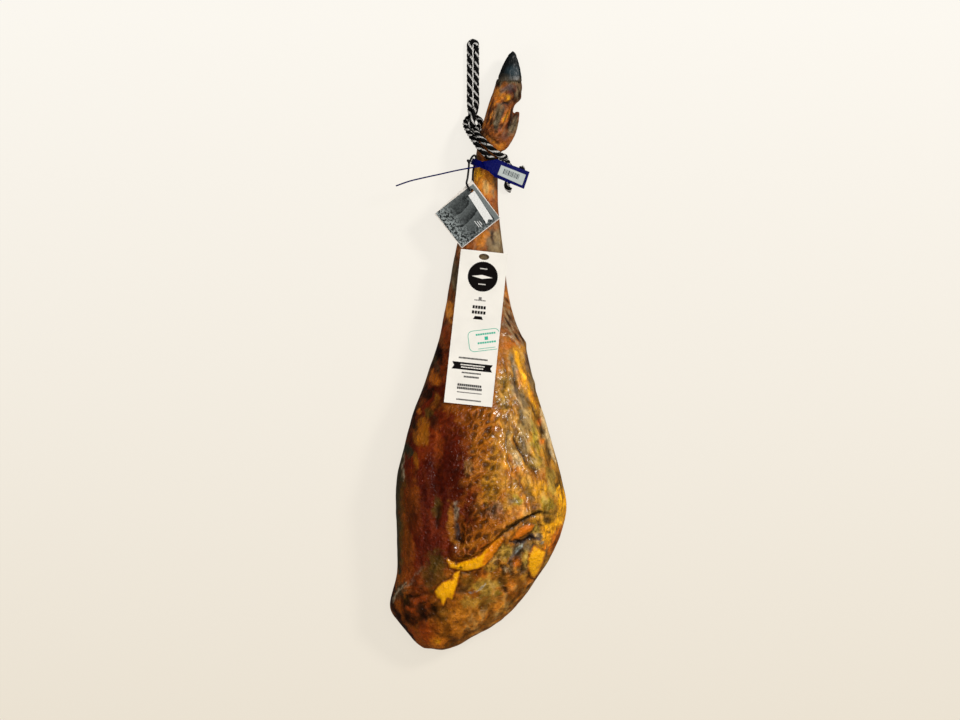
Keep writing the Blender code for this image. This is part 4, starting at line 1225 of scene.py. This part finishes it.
def even_points(points, step):
    """Points a fixed distance apart along a line of points, and that line's length."""
    line = np.array([tuple(point) for point in points])
    runs = np.linalg.norm(np.diff(line, axis=0), axis=1)
    places = np.concatenate(([0.0], np.cumsum(runs)))
    count = max(int(round(places[-1] / step)), 2)
    wanted = np.linspace(0.0, places[-1], count + 1)
    return np.column_stack([np.interp(wanted, places, line[:, axis]) for axis in range(3)]), places[-1]


def travelling_frames(line):
    """Two directions square to the line at each point, which don't twist round it."""
    tangents = np.gradient(line, axis=0)
    tangents /= np.linalg.norm(tangents, axis=1)[:, None]
    side = np.cross(tangents[0], (0.0, 0.0, 1.0))
    side /= np.linalg.norm(side)
    sides = [side]
    for tangent in tangents[1:]:
        side = sides[-1] - tangent * (sides[-1] @ tangent)
        sides.append(side / np.linalg.norm(side))
    sides = np.array(sides)
    return tangents, sides, np.cross(tangents, sides)


def rope_fibre(settings):
    """Twisted polypropylene yarn, black and off-white: dull, hairy and ribbed by its fine yarns, with
    painted shade between the ribs.
    """
    yarn = Surface("twisted_polypropylene_yarn")
    pattern = yarn.add("ShaderNodeUVMap", uv_map="along").outputs["UV"]
    ribs = yarn.add("ShaderNodeTexWave", {"Vector": pattern, "Scale": 1.0, "Distortion": 1.2, "Detail": 2.0,
                                          "Detail Scale": 2.0}, bands_direction="DIAGONAL").outputs["Fac"]
    kept = yarn.span(yarn.noise(yarn.place, 4.5, 1.0), 0.36, 0.42)
    white = yarn.maths("MULTIPLY", yarn.painted(TONE, "Fac"), kept)
    base = yarn.mix(white, rgba(settings.black), rgba(settings.white))
    # Painted shade in the troughs between the yarns' ribs, from the same pattern as their bump
    ribbed = yarn.mix(0.75, base, yarn.greys(ribs, (0.1, 0.55), (0.6, 1.05)), "MULTIPLY")
    dust = yarn.greys(yarn.noise(yarn.place, 2.2, 4.0), (0.34, 0.25), (0.5, 0.9), (0.65, 1.1))
    return yarn.finished({"Base Color": yarn.mix(0.7, ribbed, dust, "MULTIPLY"), "Roughness": 0.75,
                          "Specular IOR Level": 0.25, "Normal": yarn.bump(ribs, 0.9, 0.4)})


def make_rope(settings):
    """Four strands laid round each other along the route, alternately black and off-white, the off-white
    ones painted black on their flanks as shade between the strands.
    """
    line, length = even_points(smooth_route(ROPE_ROUTE, 8), ROPE_STEP)
    tangents, sides, ups = travelling_frames(line)
    radius = settings.diameter / 2 / MM
    lay = settings.lay / MM
    middle = radius * STRAND_MIDDLE
    thick = radius - middle
    lean = math.cos(math.atan(math.tau * middle / lay))
    wide = thick / lean * STRAND_OVERLAP
    rings = len(line)
    travelled = np.linspace(0.0, length, rings)
    vertices, faces, tones, pattern = [], [], [], []
    for strand in range(STRAND_COUNT):
        turn = strand * math.tau / STRAND_COUNT - math.tau * travelled / lay
        outward = sides * np.cos(turn)[:, None] + ups * np.sin(turn)[:, None]
        round_way = np.cross(tangents, outward)
        first = len(vertices)
        for row in range(rings):
            from_end = min(row, rings - 1 - row)
            taper = 1.0 if from_end > 1 else END_TAPERS[from_end]
            for step in range(ROPE_SIDES):
                angle = step * math.tau / ROPE_SIDES
                point = (line[row] + outward[row] * (middle + thick * taper * math.cos(angle))
                         + round_way[row] * (wide * taper * math.sin(angle)))
                vertices.append(point * MM)
                # Off-white strands are white only near their crest: painted shade on their flanks
                tones.append(float(strand % 2) * float(math.cos(angle) > WHITE_FROM))
        last = len(vertices) - ROPE_SIDES
        for row in range(rings - 1):
            for step in range(ROPE_SIDES):
                here = first + row * ROPE_SIDES
                after = (step + 1) % ROPE_SIDES
                above = here + ROPE_SIDES
                faces.append((here + step, here + after, above + after, above + step))
                pattern.append([(travelled[row + up] * YARNS_ALONG, (step + over) * YARNS_ROUND / ROPE_SIDES)
                                for up, over in ((0, 0), (0, 1), (1, 1), (1, 0))])
        for start, flip in ((first, True), (last, False)):
            end = list(range(start, start + ROPE_SIDES))
            faces.append(tuple(reversed(end)) if flip else tuple(end))
            pattern.append([(0.0, 0.0)] * ROPE_SIDES)
    mesh = bpy.data.meshes.new("rope_strands")
    mesh.from_pydata([tuple(vertex) for vertex in vertices], [], faces)
    layer = mesh.uv_layers.new(name="along")
    layer.data.foreach_set("uv", np.array([value for face in pattern for pair in face for value in pair]))
    store_colour(mesh, TONE, np.repeat(np.array(tones)[:, None], 3, axis=1))
    mesh.shade_smooth()
    mesh.materials.append(rope_fibre(settings))
    rope = bpy.data.objects.new("rope_strands", mesh)
    bpy.context.scene.collection.objects.link(rope)
    finish_piece(rope, "rope", "rope")


def string_yarn(settings):
    """Waxed black cotton string: matt, with a fine twist, painted darker in its hollows and lighter on its
    crests as shade and light.
    """
    cotton = Surface("waxed_cotton_string")
    twist = cotton.noise(cotton.place, 0.9, 3.0)
    # Painted shade in the twist's hollows and painted light on its crests, from the same noise as its bump
    tone = cotton.greys(twist, (0.3, 0.6), (0.7, 1.6))
    return cotton.finished({"Base Color": cotton.mix(1.0, rgba(settings.string_black), tone, "MULTIPLY"),
                            "Roughness": 0.7, "Normal": cotton.bump(twist, 0.6, 0.3)})


def curve_piece(name, points, diameter, material):
    """A round cord on one open spline of points in millimetres."""
    curve = bpy.data.curves.new(name, "CURVE")
    curve.dimensions = "3D"
    curve.bevel_depth = diameter / 2 * MM
    curve.bevel_resolution = 3
    curve.use_fill_caps = True
    spline = curve.splines.new("POLY")
    spline.points.add(len(points) - 1)
    for place, point in zip(spline.points, points):
        place.co = (*(Vector(point) * MM), 1.0)
    curve.materials.append(material)
    item = bpy.data.objects.new(name, curve)
    bpy.context.scene.collection.objects.link(item)
    return item


def make_string(settings):
    yarn = string_yarn(settings)
    route = smooth_route(STRING_ROUTE, 5)
    thread = curve_piece("tag_string", route, STRING_DIAMETER, yarn)
    knot_line = []
    for step in range(KNOT_STEPS + 1):
        angle = step * math.tau / KNOT_STEPS
        knot_line.append(Vector(KNOT_CENTRE) + KNOT_REACH * Vector((
            math.sin(angle) + 1.1 * math.sin(2 * angle), math.cos(angle) - 1.1 * math.cos(2 * angle),
            -0.9 * math.sin(3 * angle))))
    knot = curve_piece("tag_string_knot", knot_line, STRING_DIAMETER, yarn)
    active_only(knot)
    bpy.ops.object.convert(target="MESH")
    finish_piece(thread, "black_string", "string")
    finish_piece(bpy.context.view_layer.objects.active, "black_string", "string_knot")


def moulded_blue(settings):
    """Injection-moulded polypropylene: deep blue, fairly glossy, with a faint grain and handling marks."""
    plastic = Surface("moulded_polypropylene")
    marks = plastic.noise(plastic.place, 6, 5.0)
    grain = plastic.noise(plastic.place, 0.8, 2.0)
    tone = plastic.greys(marks, (0.3, 0.75), (0.7, 1.25))
    return plastic.finished({"Base Color": plastic.mix(0.6, rgba(settings.seal_blue), tone, "MULTIPLY"),
                             "Roughness": plastic.span(marks, 0.0, 1.0, 0.16, 0.34),
                             "Specular IOR Level": 0.35, "Normal": plastic.bump(grain, 0.2, 0.2)})


def paper_surface(name, colour, rough=0.8, shine=0.4):
    """Coated paper: a fine tooth, hardly any shine and a slight cloudiness."""
    paper = Surface(name)
    tone = paper.greys(paper.noise(paper.place, 30, 3.0), (0.3, 0.94), (0.7, 1.02))
    tooth = paper.noise(paper.place, 1.2, 3.0)
    return paper.finished({"Base Color": paper.mix(1.0, rgba(colour), tone, "MULTIPLY"), "Roughness": rough,
                           "Specular IOR Level": shine, "Normal": paper.bump(tooth, 0.15, 0.2)})


# The seal's print: its turn and middle, the bars' widths, and their height and gaps, in millimetres
SEAL_TURN = math.radians(-21)
SEAL_PRINT = (44.4, 233.4, 64.56)
BAR_WIDTHS = (1.2, 0.6, 0.9, 0.5, 1.4, 0.6, 0.8, 1.1, 0.5, 0.9, 0.6, 1.3, 0.7)
BAR_START = -12.0
BAR_HEIGHT = 7.0
BAR_GAP = 0.9
BAR_INK = linear("#3C4244")
# How much the moulding's edges are rounded
SEAL_EDGE = 0.3


def make_seal(settings):
    seal = node_copy("seal", "seal_moulding")
    edges = seal.modifiers.new("edges", "BEVEL")
    edges.width = SEAL_EDGE * MM
    edges.segments = 2
    edges.limit_method = "ANGLE"
    edges.angle_limit = math.radians(38)
    apply_modifiers(seal)
    active_only(seal)
    bpy.ops.object.shade_smooth_by_angle(angle=math.radians(35))
    seal.data.materials.append(moulded_blue(settings))
    finish_piece(seal, "seal_plastic", "seal")
    label = frame["nodes"]["seal_label"]
    label.material_slots[0].material = paper_surface("seal_paper", settings.seal_paper, rough=0.4)
    make_seal_bars(settings)


def make_seal_bars(settings):
    """Plain upright bars on the seal's label, of mixed widths, like any stock code."""
    ink = paper_surface("grey_print", BAR_INK, rough=0.7, shine=0.2)
    rotation = Matrix.Rotation(SEAL_TURN, 3, "Z")
    plates = []
    place = BAR_START
    for width in BAR_WIDTHS:
        spot = (Vector(SEAL_PRINT) + rotation @ Vector((place + width / 2, 1.0, 0))) * MM
        bpy.ops.mesh.primitive_plane_add(size=1, location=spot, rotation=(0, 0, SEAL_TURN))
        plate = bpy.context.active_object
        plate.scale = (width * MM, BAR_HEIGHT * MM, 1)
        settle(plate)
        plates.append(plate)
        place += width + BAR_GAP
    join_print("seal_bars", plates, ink, "seal_label")


def join_print(name, plates, material, slot):
    active_only(plates[0])
    for plate in plates:
        plate.select_set(True)
    bpy.ops.object.join()
    printed = bpy.context.active_object
    printed.name = name
    printed.data.name = name
    settle(printed)
    printed.data.materials.clear()
    printed.data.materials.append(material)
    return finish_piece(printed, slot)


# The long label's corners, the turn of its own axes, and how high print stands over it
LABEL_CORNERS = ((-23.4, 134.7), (39.5, 128.0), (18.1, -77.1), (-46.2, -70.4))
LABEL_TURN = math.atan2(128.0 - 134.7, 39.5 + 23.4)
LABEL_RIGHT = 31.4
PRINT_LIFT = 0.06
PRINT_HEIGHT = 0.2
GREY_INK = linear("#6E6A66")

# Rows of plain blocks that stand for print, in the label's axes: x, y, width, height, count
BLACK_ROWS = (
    (0.9, 27.9, 18.4, 4.2, 5), (1.0, 20.9, 19.0, 4.2, 5),
    (0.2, -41.5, 39.0, 2.2, 22), (-0.2, -61.0, 26.0, 2.0, 14), (0.3, -66.2, 20.5, 2.4, 10),
    (-0.9, -77.6, 32.5, 3.2, 12), (-0.5, -81.9, 33.5, 3.2, 14), (0.0, -87.4, 33.0, 1.3, 20),
    (-0.1, -97.2, 33.0, 2.0, 20),
)
GREY_ROWS = ((1.0, 37.2, 15.5, 1.6, 7), (1.0, 39.6, 4.0, 4.0, 1))
WHITE_ROWS = ((1.5, 79.8, 10.0, 1.3, 7), (1.3, 58.9, 10.0, 1.3, 7), (0.4, -50.6, 32.5, 1.6, 16),
              (0.2, -53.9, 30.0, 1.6, 14))
GREEN_ROWS = ((13.2, -6.4, 27.0, 2.4, 9), (14.8, -12.2, 4.6, 4.6, 1), (16.0, -17.6, 25.0, 2.4, 8),
              (17.0, -25.2, 23.0, 1.0, 14))
STAMP_TURN = math.radians(13)
# The label's other shapes in the same axes: x, y, then radius and corners, or width, height and what else
# shapes them: the ribbon's notch, the wedge's narrowing, and the stamp's corner and line
DISC = (1.4, 69.2, 20.4)
LENS = (0.6, 68.8, 14.0, 4)
RIBBON = (0.1, -52.3, 54.4, 9.8, 2.8)
WEDGE = (1.0, 13.7, 13.4, 4.4, 0.68)
STAMP = (12.5, -15.0, 43.0, 28.5, 7.0, 0.8)


def label_place(x, y):
    """A point in the label's own axes, in frame metres, high over the card."""
    middle = sum((Vector(corner) for corner in LABEL_CORNERS), Vector((0, 0))) / 4
    spot = middle + Matrix.Rotation(LABEL_TURN, 2) @ Vector((x, y))
    return Vector((spot.x * MM, spot.y * MM, PRINT_HEIGHT))


def select_corners(mesh, test):
    """Select the vertices that a test picks, and nothing else, in edit mode."""
    bpy.ops.object.mode_set(mode="EDIT")
    bpy.ops.mesh.select_mode(type="VERT")
    bpy.ops.mesh.select_all(action="DESELECT")
    bpy.ops.object.mode_set(mode="OBJECT")
    for corner in mesh.vertices:
        corner.select = test(corner)
    bpy.ops.object.mode_set(mode="EDIT")


def add_grid(x, y, width, height, columns, rows, turn=0.0):
    """A flat grid in the label's axes."""
    bpy.ops.object.select_all(action="DESELECT")
    bpy.ops.mesh.primitive_grid_add(x_subdivisions=columns, y_subdivisions=rows, size=1,
                                    location=label_place(x, y), rotation=(0, 0, LABEL_TURN + turn))
    grid = bpy.context.active_object
    grid.scale = (width * MM, height * MM, 1)
    bpy.ops.object.transform_apply(location=False, rotation=False, scale=True)
    return grid


def add_plate(x, y, width, height, turn=0.0):
    """A flat plate, divided finely enough to follow the card's curve."""
    return add_grid(x, y, width, height, max(1, round(width / 3)), max(1, round(height / 3)), turn)


def add_row(x, y, width, height, count, turn=0.0):
    """A row of equal blocks, made from one block by an array."""
    pitch = width / count
    block = pitch * (0.8 if count > 1 else 1.0)
    spin = Matrix.Rotation(turn, 2)
    start = Vector((x, y)) - spin @ Vector(((count - 1) * pitch / 2, 0))
    plate = add_plate(start.x, start.y, block, height, turn)
    if count > 1:
        repeat = plate.modifiers.new("repeat", "ARRAY")
        repeat.count = count
        repeat.use_relative_offset = False
        repeat.use_constant_offset = True
        repeat.constant_offset_displace = (pitch * MM, 0, 0)
        apply_modifiers(plate)
    return plate


def add_disc(x, y, radius, sides=96):
    """A flat disc with a finely notched rim."""
    bpy.ops.object.select_all(action="DESELECT")
    bpy.ops.mesh.primitive_circle_add(vertices=sides, radius=radius * MM, fill_type="TRIFAN",
                                      location=label_place(x, y), rotation=(0, 0, LABEL_TURN))
    disc = bpy.context.active_object
    rim = radius * MM * 0.9
    select_corners(disc.data, lambda corner: corner.co.length > rim and corner.index % 2)
    bpy.ops.transform.resize(value=(0.972, 0.972, 1), center_override=label_place(x, y))
    bpy.ops.mesh.select_all(action="SELECT")
    bpy.ops.mesh.subdivide(number_cuts=5)
    bpy.ops.object.mode_set(mode="OBJECT")
    return disc


def add_ribbon(x, y, width, height, notch):
    """A flat ribbon with a swallow tail at each end."""
    ribbon = add_grid(x, y, width, height, 18, 2)
    reach = width / 2 * MM * 0.99
    core = height * MM * 0.1
    along = Matrix.Rotation(LABEL_TURN, 3, "Z") @ Vector((notch * MM, 0, 0))
    for side in (-1, 1):
        select_corners(ribbon.data,
                       lambda corner: corner.co.x * side > reach and abs(corner.co.y) < core)
        bpy.ops.transform.translate(value=along * -side)
        bpy.ops.object.mode_set(mode="OBJECT")
    return ribbon


def add_wedge(x, y, width, height, narrowing):
    """A flat bar whose upper edge is narrower."""
    wedge = add_plate(x, y, width, height)
    select_corners(wedge.data, lambda corner: corner.co.y > height * MM * 0.4)
    bpy.ops.transform.resize(value=(narrowing, narrowing, 1), center_override=label_place(x, y + height / 2))
    bpy.ops.object.mode_set(mode="OBJECT")
    return wedge


def add_stamp(x, y, width, height, corner, line):
    """A stamp's rounded outline, cut off at the label's right edge."""
    bpy.ops.object.select_all(action="DESELECT")
    bpy.ops.mesh.primitive_plane_add(size=1, location=label_place(x, y),
                                     rotation=(0, 0, LABEL_TURN + STAMP_TURN))
    stamp = bpy.context.active_object
    stamp.scale = (width * MM, height * MM, 1)
    bpy.ops.object.transform_apply(location=False, rotation=False, scale=True)
    bpy.ops.object.mode_set(mode="EDIT")
    bpy.ops.mesh.select_all(action="SELECT")
    bpy.ops.mesh.bevel(offset=corner * MM, segments=6, affect="VERTICES")
    bpy.ops.mesh.select_all(action="SELECT")
    bpy.ops.mesh.inset(thickness=line * MM)
    bpy.ops.mesh.delete(type="FACE")
    bpy.ops.mesh.select_all(action="SELECT")
    bpy.ops.mesh.subdivide(number_cuts=4)
    bpy.ops.mesh.select_all(action="SELECT")
    edge = Matrix.Rotation(LABEL_TURN, 3, "Z") @ Vector((1, 0, 0))
    bpy.ops.mesh.bisect(plane_co=label_place(LABEL_RIGHT - 0.6, y), plane_no=edge, clear_outer=True)
    bpy.ops.object.mode_set(mode="OBJECT")
    return stamp


def lay_on(item, target, lift):
    """Drop a print shape straight down onto its card."""
    drop = item.modifiers.new("drop", "SHRINKWRAP")
    drop.target = target
    drop.wrap_method = "PROJECT"
    drop.use_project_z = True
    drop.use_negative_direction = True
    drop.use_positive_direction = False
    drop.offset = lift * MM
    apply_modifiers(item)


def make_label(settings):
    card = frame["nodes"]["label_card"]
    card.material_slots[0].material = paper_surface("uncoated_card", settings.card)
    black = [add_disc(*DISC), add_ribbon(*RIBBON), add_wedge(*WEDGE)]
    black += [add_row(*row) for row in BLACK_ROWS]
    white = [add_row(*row) for row in WHITE_ROWS]
    lens = add_disc(*LENS)
    lens.scale = (1, 0.2, 1)
    white.append(lens)
    stamp = [add_stamp(*STAMP)]
    stamp += [add_row(*row, turn=STAMP_TURN) for row in GREEN_ROWS]
    grey = [add_row(*row) for row in GREY_ROWS]
    prints = ((black, "label_black_print", settings.ink, 1),
              (stamp, "label_green_print", settings.green_ink, 1),
              (grey, "label_grey_print", GREY_INK, 1),
              (white, "label_white_print", settings.card, 2))
    for plates, name, colour, layer in prints:
        printed = join_print(name, plates, paper_surface(name, colour, rough=0.85, shine=0.1), "label_card")
        lay_on(printed, card, PRINT_LIFT * layer)


# The tag's lower corner, the turn of its lower right side, and its sides' lengths in millimetres
TAG_CORNER = (-22.2, 135.7)
TAG_TURN = math.atan2(40.0, 51.4)
TAG_SIZE = (65.1, 59.1)
# Its plain band, its three short dashes (place, low and high end, in millimetres) and its print's colours
TAG_BAND_START = 58.5
TAG_DASHES = ((35.0, 8.0, 18.0), (37.6, 6.5, 16.0), (40.2, 8.0, 14.5))
TAG_DASH_WIDTH = 0.8
TAG_BAND = linear("#6C7270")
TAG_STRIP = linear("#E2E1DC")
TAG_DASH = linear("#E4E4E0")
TAG_EDGE = linear("#DAD2C8")


def tag_design(settings):
    """Matt-laminated card printed in greys: misty hills over grass, a plain band and a white strip."""
    card = Surface("laminated_printed_card")
    corner = Matrix.Rotation(-TAG_TURN, 2) @ Vector(TAG_CORNER)
    own = card.add("ShaderNodeMapping", {"Vector": card.place, "Rotation": (0, 0, -TAG_TURN),
                                         "Location": (-corner.x * MM, -corner.y * MM, 0)}).outputs["Vector"]
    across, up, _ = card.add("ShaderNodeSeparateXYZ", {"Vector": own}).outputs

    def inside(value, low, high):
        """1 where a value is between two lengths in millimetres."""
        return card.maths("MULTIPLY", card.maths("GREATER_THAN", value, low * MM),
                          card.maths("LESS_THAN", value, high * MM))

    level = card.maths("MULTIPLY_ADD", up, 30.0, card.noise(own, 30, 3.0, distortion=0.5))
    hills = card.maths("FRACT", card.maths("MULTIPLY", level, 1.7))
    grass = card.greys(card.noise(card.place, 2.6, 3.0, 0.7), (0.47, 0.0), (0.54, 1.0))
    near_edge = card.maths("MAXIMUM", card.span(across, 0.024, 0.008), card.span(up, 0.014, 0.002, 0.0, 0.5))
    grassy = card.maths("MULTIPLY_ADD", near_edge, 0.8, 0.08)
    light = card.blend(grassy, card.span(hills, 0.0, 1.0, 0.0, 0.3), grass)
    picture = card.mix(light, rgba(settings.tag_dark), rgba(settings.tag_light))
    picture = card.mix(card.maths("GREATER_THAN", across, TAG_BAND_START * MM), picture, rgba(TAG_BAND))
    lean = card.maths("MULTIPLY_ADD", up, -0.088, across)
    strip = card.maths("MULTIPLY", inside(lean, 45.6, 56.0), inside(up, 5.0, 50.5))
    from_middle = card.maths("ABSOLUTE", card.maths("SUBTRACT", lean, 50.8 * MM))
    tail = card.maths("GREATER_THAN", up, card.maths("MULTIPLY_ADD", from_middle, -0.7, 8.6 * MM))
    picture = card.mix(card.maths("MULTIPLY", strip, tail), picture, rgba(TAG_STRIP))
    for start, low, high in TAG_DASHES:
        dash = card.maths("MULTIPLY", inside(across, start, start + TAG_DASH_WIDTH), inside(up, low, high))
        picture = card.mix(dash, picture, rgba(TAG_DASH))
    wide, tall = TAG_SIZE
    whole = card.maths("MULTIPLY", inside(across, 0.7, wide - 0.5), inside(up, 0.9, tall - 0.4))
    picture = card.mix(card.maths("SUBTRACT", 1.0, whole), picture, rgba(TAG_EDGE))
    return card.finished({"Base Color": picture, "Roughness": 0.4})


def make_tag(settings):
    tag = node_copy("tag_card", "printed_tag")
    tag.data.materials.append(paper_surface("tag_board", linear("#E4DDD2")))
    tag.data.materials.append(tag_design(settings))
    for face in tag.data.polygons:
        face.material_index = 1 if face.normal.z > 0.7 else 0
    finish_piece(tag, "tag_card", "tag_card")


def cream_floor(settings):
    """Seamless cream backdrop paper, a little darker towards the butt's end."""
    paper = Surface("backdrop_paper")
    along = paper.add("ShaderNodeSeparateXYZ", {"Vector": paper.place}).outputs["Y"]
    base = paper.mix(paper.span(along, *FLOOR_FADE), rgba(settings.floor_bottom), rgba(settings.floor_top))
    lit = paper.mix(1.0, base, rgba((FLOOR_SHARE,) * 3), "MULTIPLY")
    return paper.finished({"Base Color": lit, "Emission Color": base, "Emission Strength": FLOOR_GLOW,
                           "Roughness": 1.0, "Specular IOR Level": 0.0})


# The floor's fade along Y in metres, the share of its colour that takes light, and how much it glows
FLOOR_FADE = (-0.5, 0.45)
FLOOR_SHARE = 0.12
FLOOR_GLOW = 0.85
# Area lights: name, place, aim, size in metres, share of the key's power, colour, and whether gloss shows it
LIGHTS = (
    ("key_light", (5.6, 3.4, 7.0), (0, 0, 0.05), 1.7, 1.0, (1.0, 0.98, 0.95), True),
    ("fill_light", (-6.0, -2.6, 7.0), (0, 0, 0.05), 4.0, 0.26, (1.0, 1.0, 1.0), False),
    ("low_light", (0.6, -7.0, 4.5), (0, 0, 0.05), 3.0, 0.07, (1.0, 0.99, 0.96), False),
    ("top_light", (0.4, 0.5, 8.0), (0, 0, 0), 5.0, 0.4, (1.0, 1.0, 1.0), False),
)
WORLD_COLOUR = (1.0, 0.98, 0.95)
WORLD_STRENGTH = 0.03
# The camera stands far off, so that the view is nearly flat
CAMERA_X = 0.002
CAMERA_Y = -0.01407
CAMERA_LENS = 559.7
CAMERA_SENSOR = 36
CAMERA_REACH = 50


def add_light(name, place, aim, size, power, colour, glossy):
    bpy.ops.object.light_add(type="AREA", location=place)
    lamp = bpy.context.active_object
    lamp.name = name
    lamp.data.size = size
    lamp.data.energy = power
    lamp.data.color = colour
    lamp.visible_glossy = glossy
    lamp.rotation_euler = (Vector(aim) - Vector(place)).to_track_quat("-Z", "Y").to_euler()


def make_stage(settings):
    bpy.ops.mesh.primitive_plane_add(size=12, location=(0, 0, -0.0004))
    floor = bpy.context.active_object
    floor.name = "floor"
    floor.data.materials.append(cream_floor(settings))
    floor.visible_glossy = False
    for name, place, aim, size, share, colour, glossy in LIGHTS:
        add_light(name, place, aim, size, settings.key_power * share, colour, glossy)
    world = bpy.data.worlds.new("studio")
    world.use_nodes = True
    background = world.node_tree.nodes["Background"]
    background.inputs["Color"].default_value = rgba(WORLD_COLOUR)
    background.inputs["Strength"].default_value = WORLD_STRENGTH
    bpy.context.scene.world = world
    bpy.context.scene.view_settings.view_transform = "Standard"
    bpy.ops.object.camera_add(location=(CAMERA_X, CAMERA_Y, settings.camera_height), rotation=(0, 0, 0))
    camera = bpy.context.active_object
    camera.data.lens = CAMERA_LENS
    camera.data.sensor_width = CAMERA_SENSOR
    camera.data.clip_end = CAMERA_REACH
    bpy.context.scene.camera = camera


class PieceOperator:
    """What the operators share: each one makes its pieces from its own group of settings"""

    def execute(self, context):
        self.make(getattr(context.scene, self.group))
        return {"FINISHED"}


class CURED_HAM_OT_stage(PieceOperator, bpy.types.Operator):
    """Add the floor, the lights and the camera"""
    bl_idname = "cured_ham.stage"
    bl_label = "Stage"
    group = "ham_stage"
    make = staticmethod(make_stage)


class CURED_HAM_OT_leg(PieceOperator, bpy.types.Operator):
    """Make the cured leg with its skin, meat and fat"""
    bl_idname = "cured_ham.leg"
    bl_label = "Leg"
    group = "ham_leg"
    make = staticmethod(make_leg)


class CURED_HAM_OT_hoof(PieceOperator, bpy.types.Operator):
    """Make the two claws of the hoof"""
    bl_idname = "cured_ham.hoof"
    bl_label = "Hoof"
    group = "ham_hoof"
    make = staticmethod(make_hoof)


class CURED_HAM_OT_rope(PieceOperator, bpy.types.Operator):
    """Make the twisted hanging rope"""
    bl_idname = "cured_ham.rope"
    bl_label = "Rope"
    group = "ham_rope"
    make = staticmethod(make_rope)


class CURED_HAM_OT_string(PieceOperator, bpy.types.Operator):
    """Make the tag's string and its knot"""
    bl_idname = "cured_ham.string"
    bl_label = "String"
    group = "ham_trim"
    make = staticmethod(make_string)


class CURED_HAM_OT_seal(PieceOperator, bpy.types.Operator):
    """Make the plastic seal and its label"""
    bl_idname = "cured_ham.seal"
    bl_label = "Seal"
    group = "ham_trim"
    make = staticmethod(make_seal)


class CURED_HAM_OT_tag(PieceOperator, bpy.types.Operator):
    """Make the grey tag card"""
    bl_idname = "cured_ham.tag"
    bl_label = "Tag"
    group = "ham_trim"
    make = staticmethod(make_tag)


class CURED_HAM_OT_label(PieceOperator, bpy.types.Operator):
    """Make the long label and its print"""
    bl_idname = "cured_ham.label"
    bl_label = "Label"
    group = "ham_trim"
    make = staticmethod(make_label)


class CURED_HAM_PT_panel(bpy.types.Panel):
    """Lists the ham's pieces"""
    bl_idname = "CURED_HAM_PT_panel"
    bl_label = "Cured ham"
    bl_space_type = "VIEW_3D"
    bl_region_type = "UI"
    bl_category = "Cured ham"

    def draw(self, context):
        for operator in OPERATORS:
            self.layout.operator(operator.bl_idname)
        for group in GROUPS:
            settings = getattr(context.scene, group)
            for name in settings.bl_rna.properties.keys():
                if name not in {"rna_type", "name"}:
                    self.layout.prop(settings, name)


OPERATORS = (CURED_HAM_OT_stage, CURED_HAM_OT_rope, CURED_HAM_OT_string, CURED_HAM_OT_leg,
             CURED_HAM_OT_hoof, CURED_HAM_OT_seal, CURED_HAM_OT_tag, CURED_HAM_OT_label)
GROUPS = {"ham_leg": LegSettings, "ham_hoof": HoofSettings, "ham_rope": RopeSettings,
          "ham_trim": TrimSettings, "ham_stage": StageSettings}


def register():
    for item in (*GROUPS.values(), *OPERATORS, CURED_HAM_PT_panel):
        bpy.utils.register_class(item)
    for name, group in GROUPS.items():
        setattr(bpy.types.Scene, name, bpy.props.PointerProperty(type=group))


def unregister():
    for name in GROUPS:
        delattr(bpy.types.Scene, name)
    for item in (CURED_HAM_PT_panel, *reversed(OPERATORS), *GROUPS.values()):
        bpy.utils.unregister_class(item)


def main():
    register()
    bpy.ops.cured_ham.stage()
    bpy.ops.cured_ham.rope()
    bpy.ops.cured_ham.string()
    bpy.ops.cured_ham.leg()
    bpy.ops.cured_ham.hoof()
    bpy.ops.cured_ham.seal()
    bpy.ops.cured_ham.tag()
    bpy.ops.cured_ham.label()


if __name__ == "__main__":
    main()
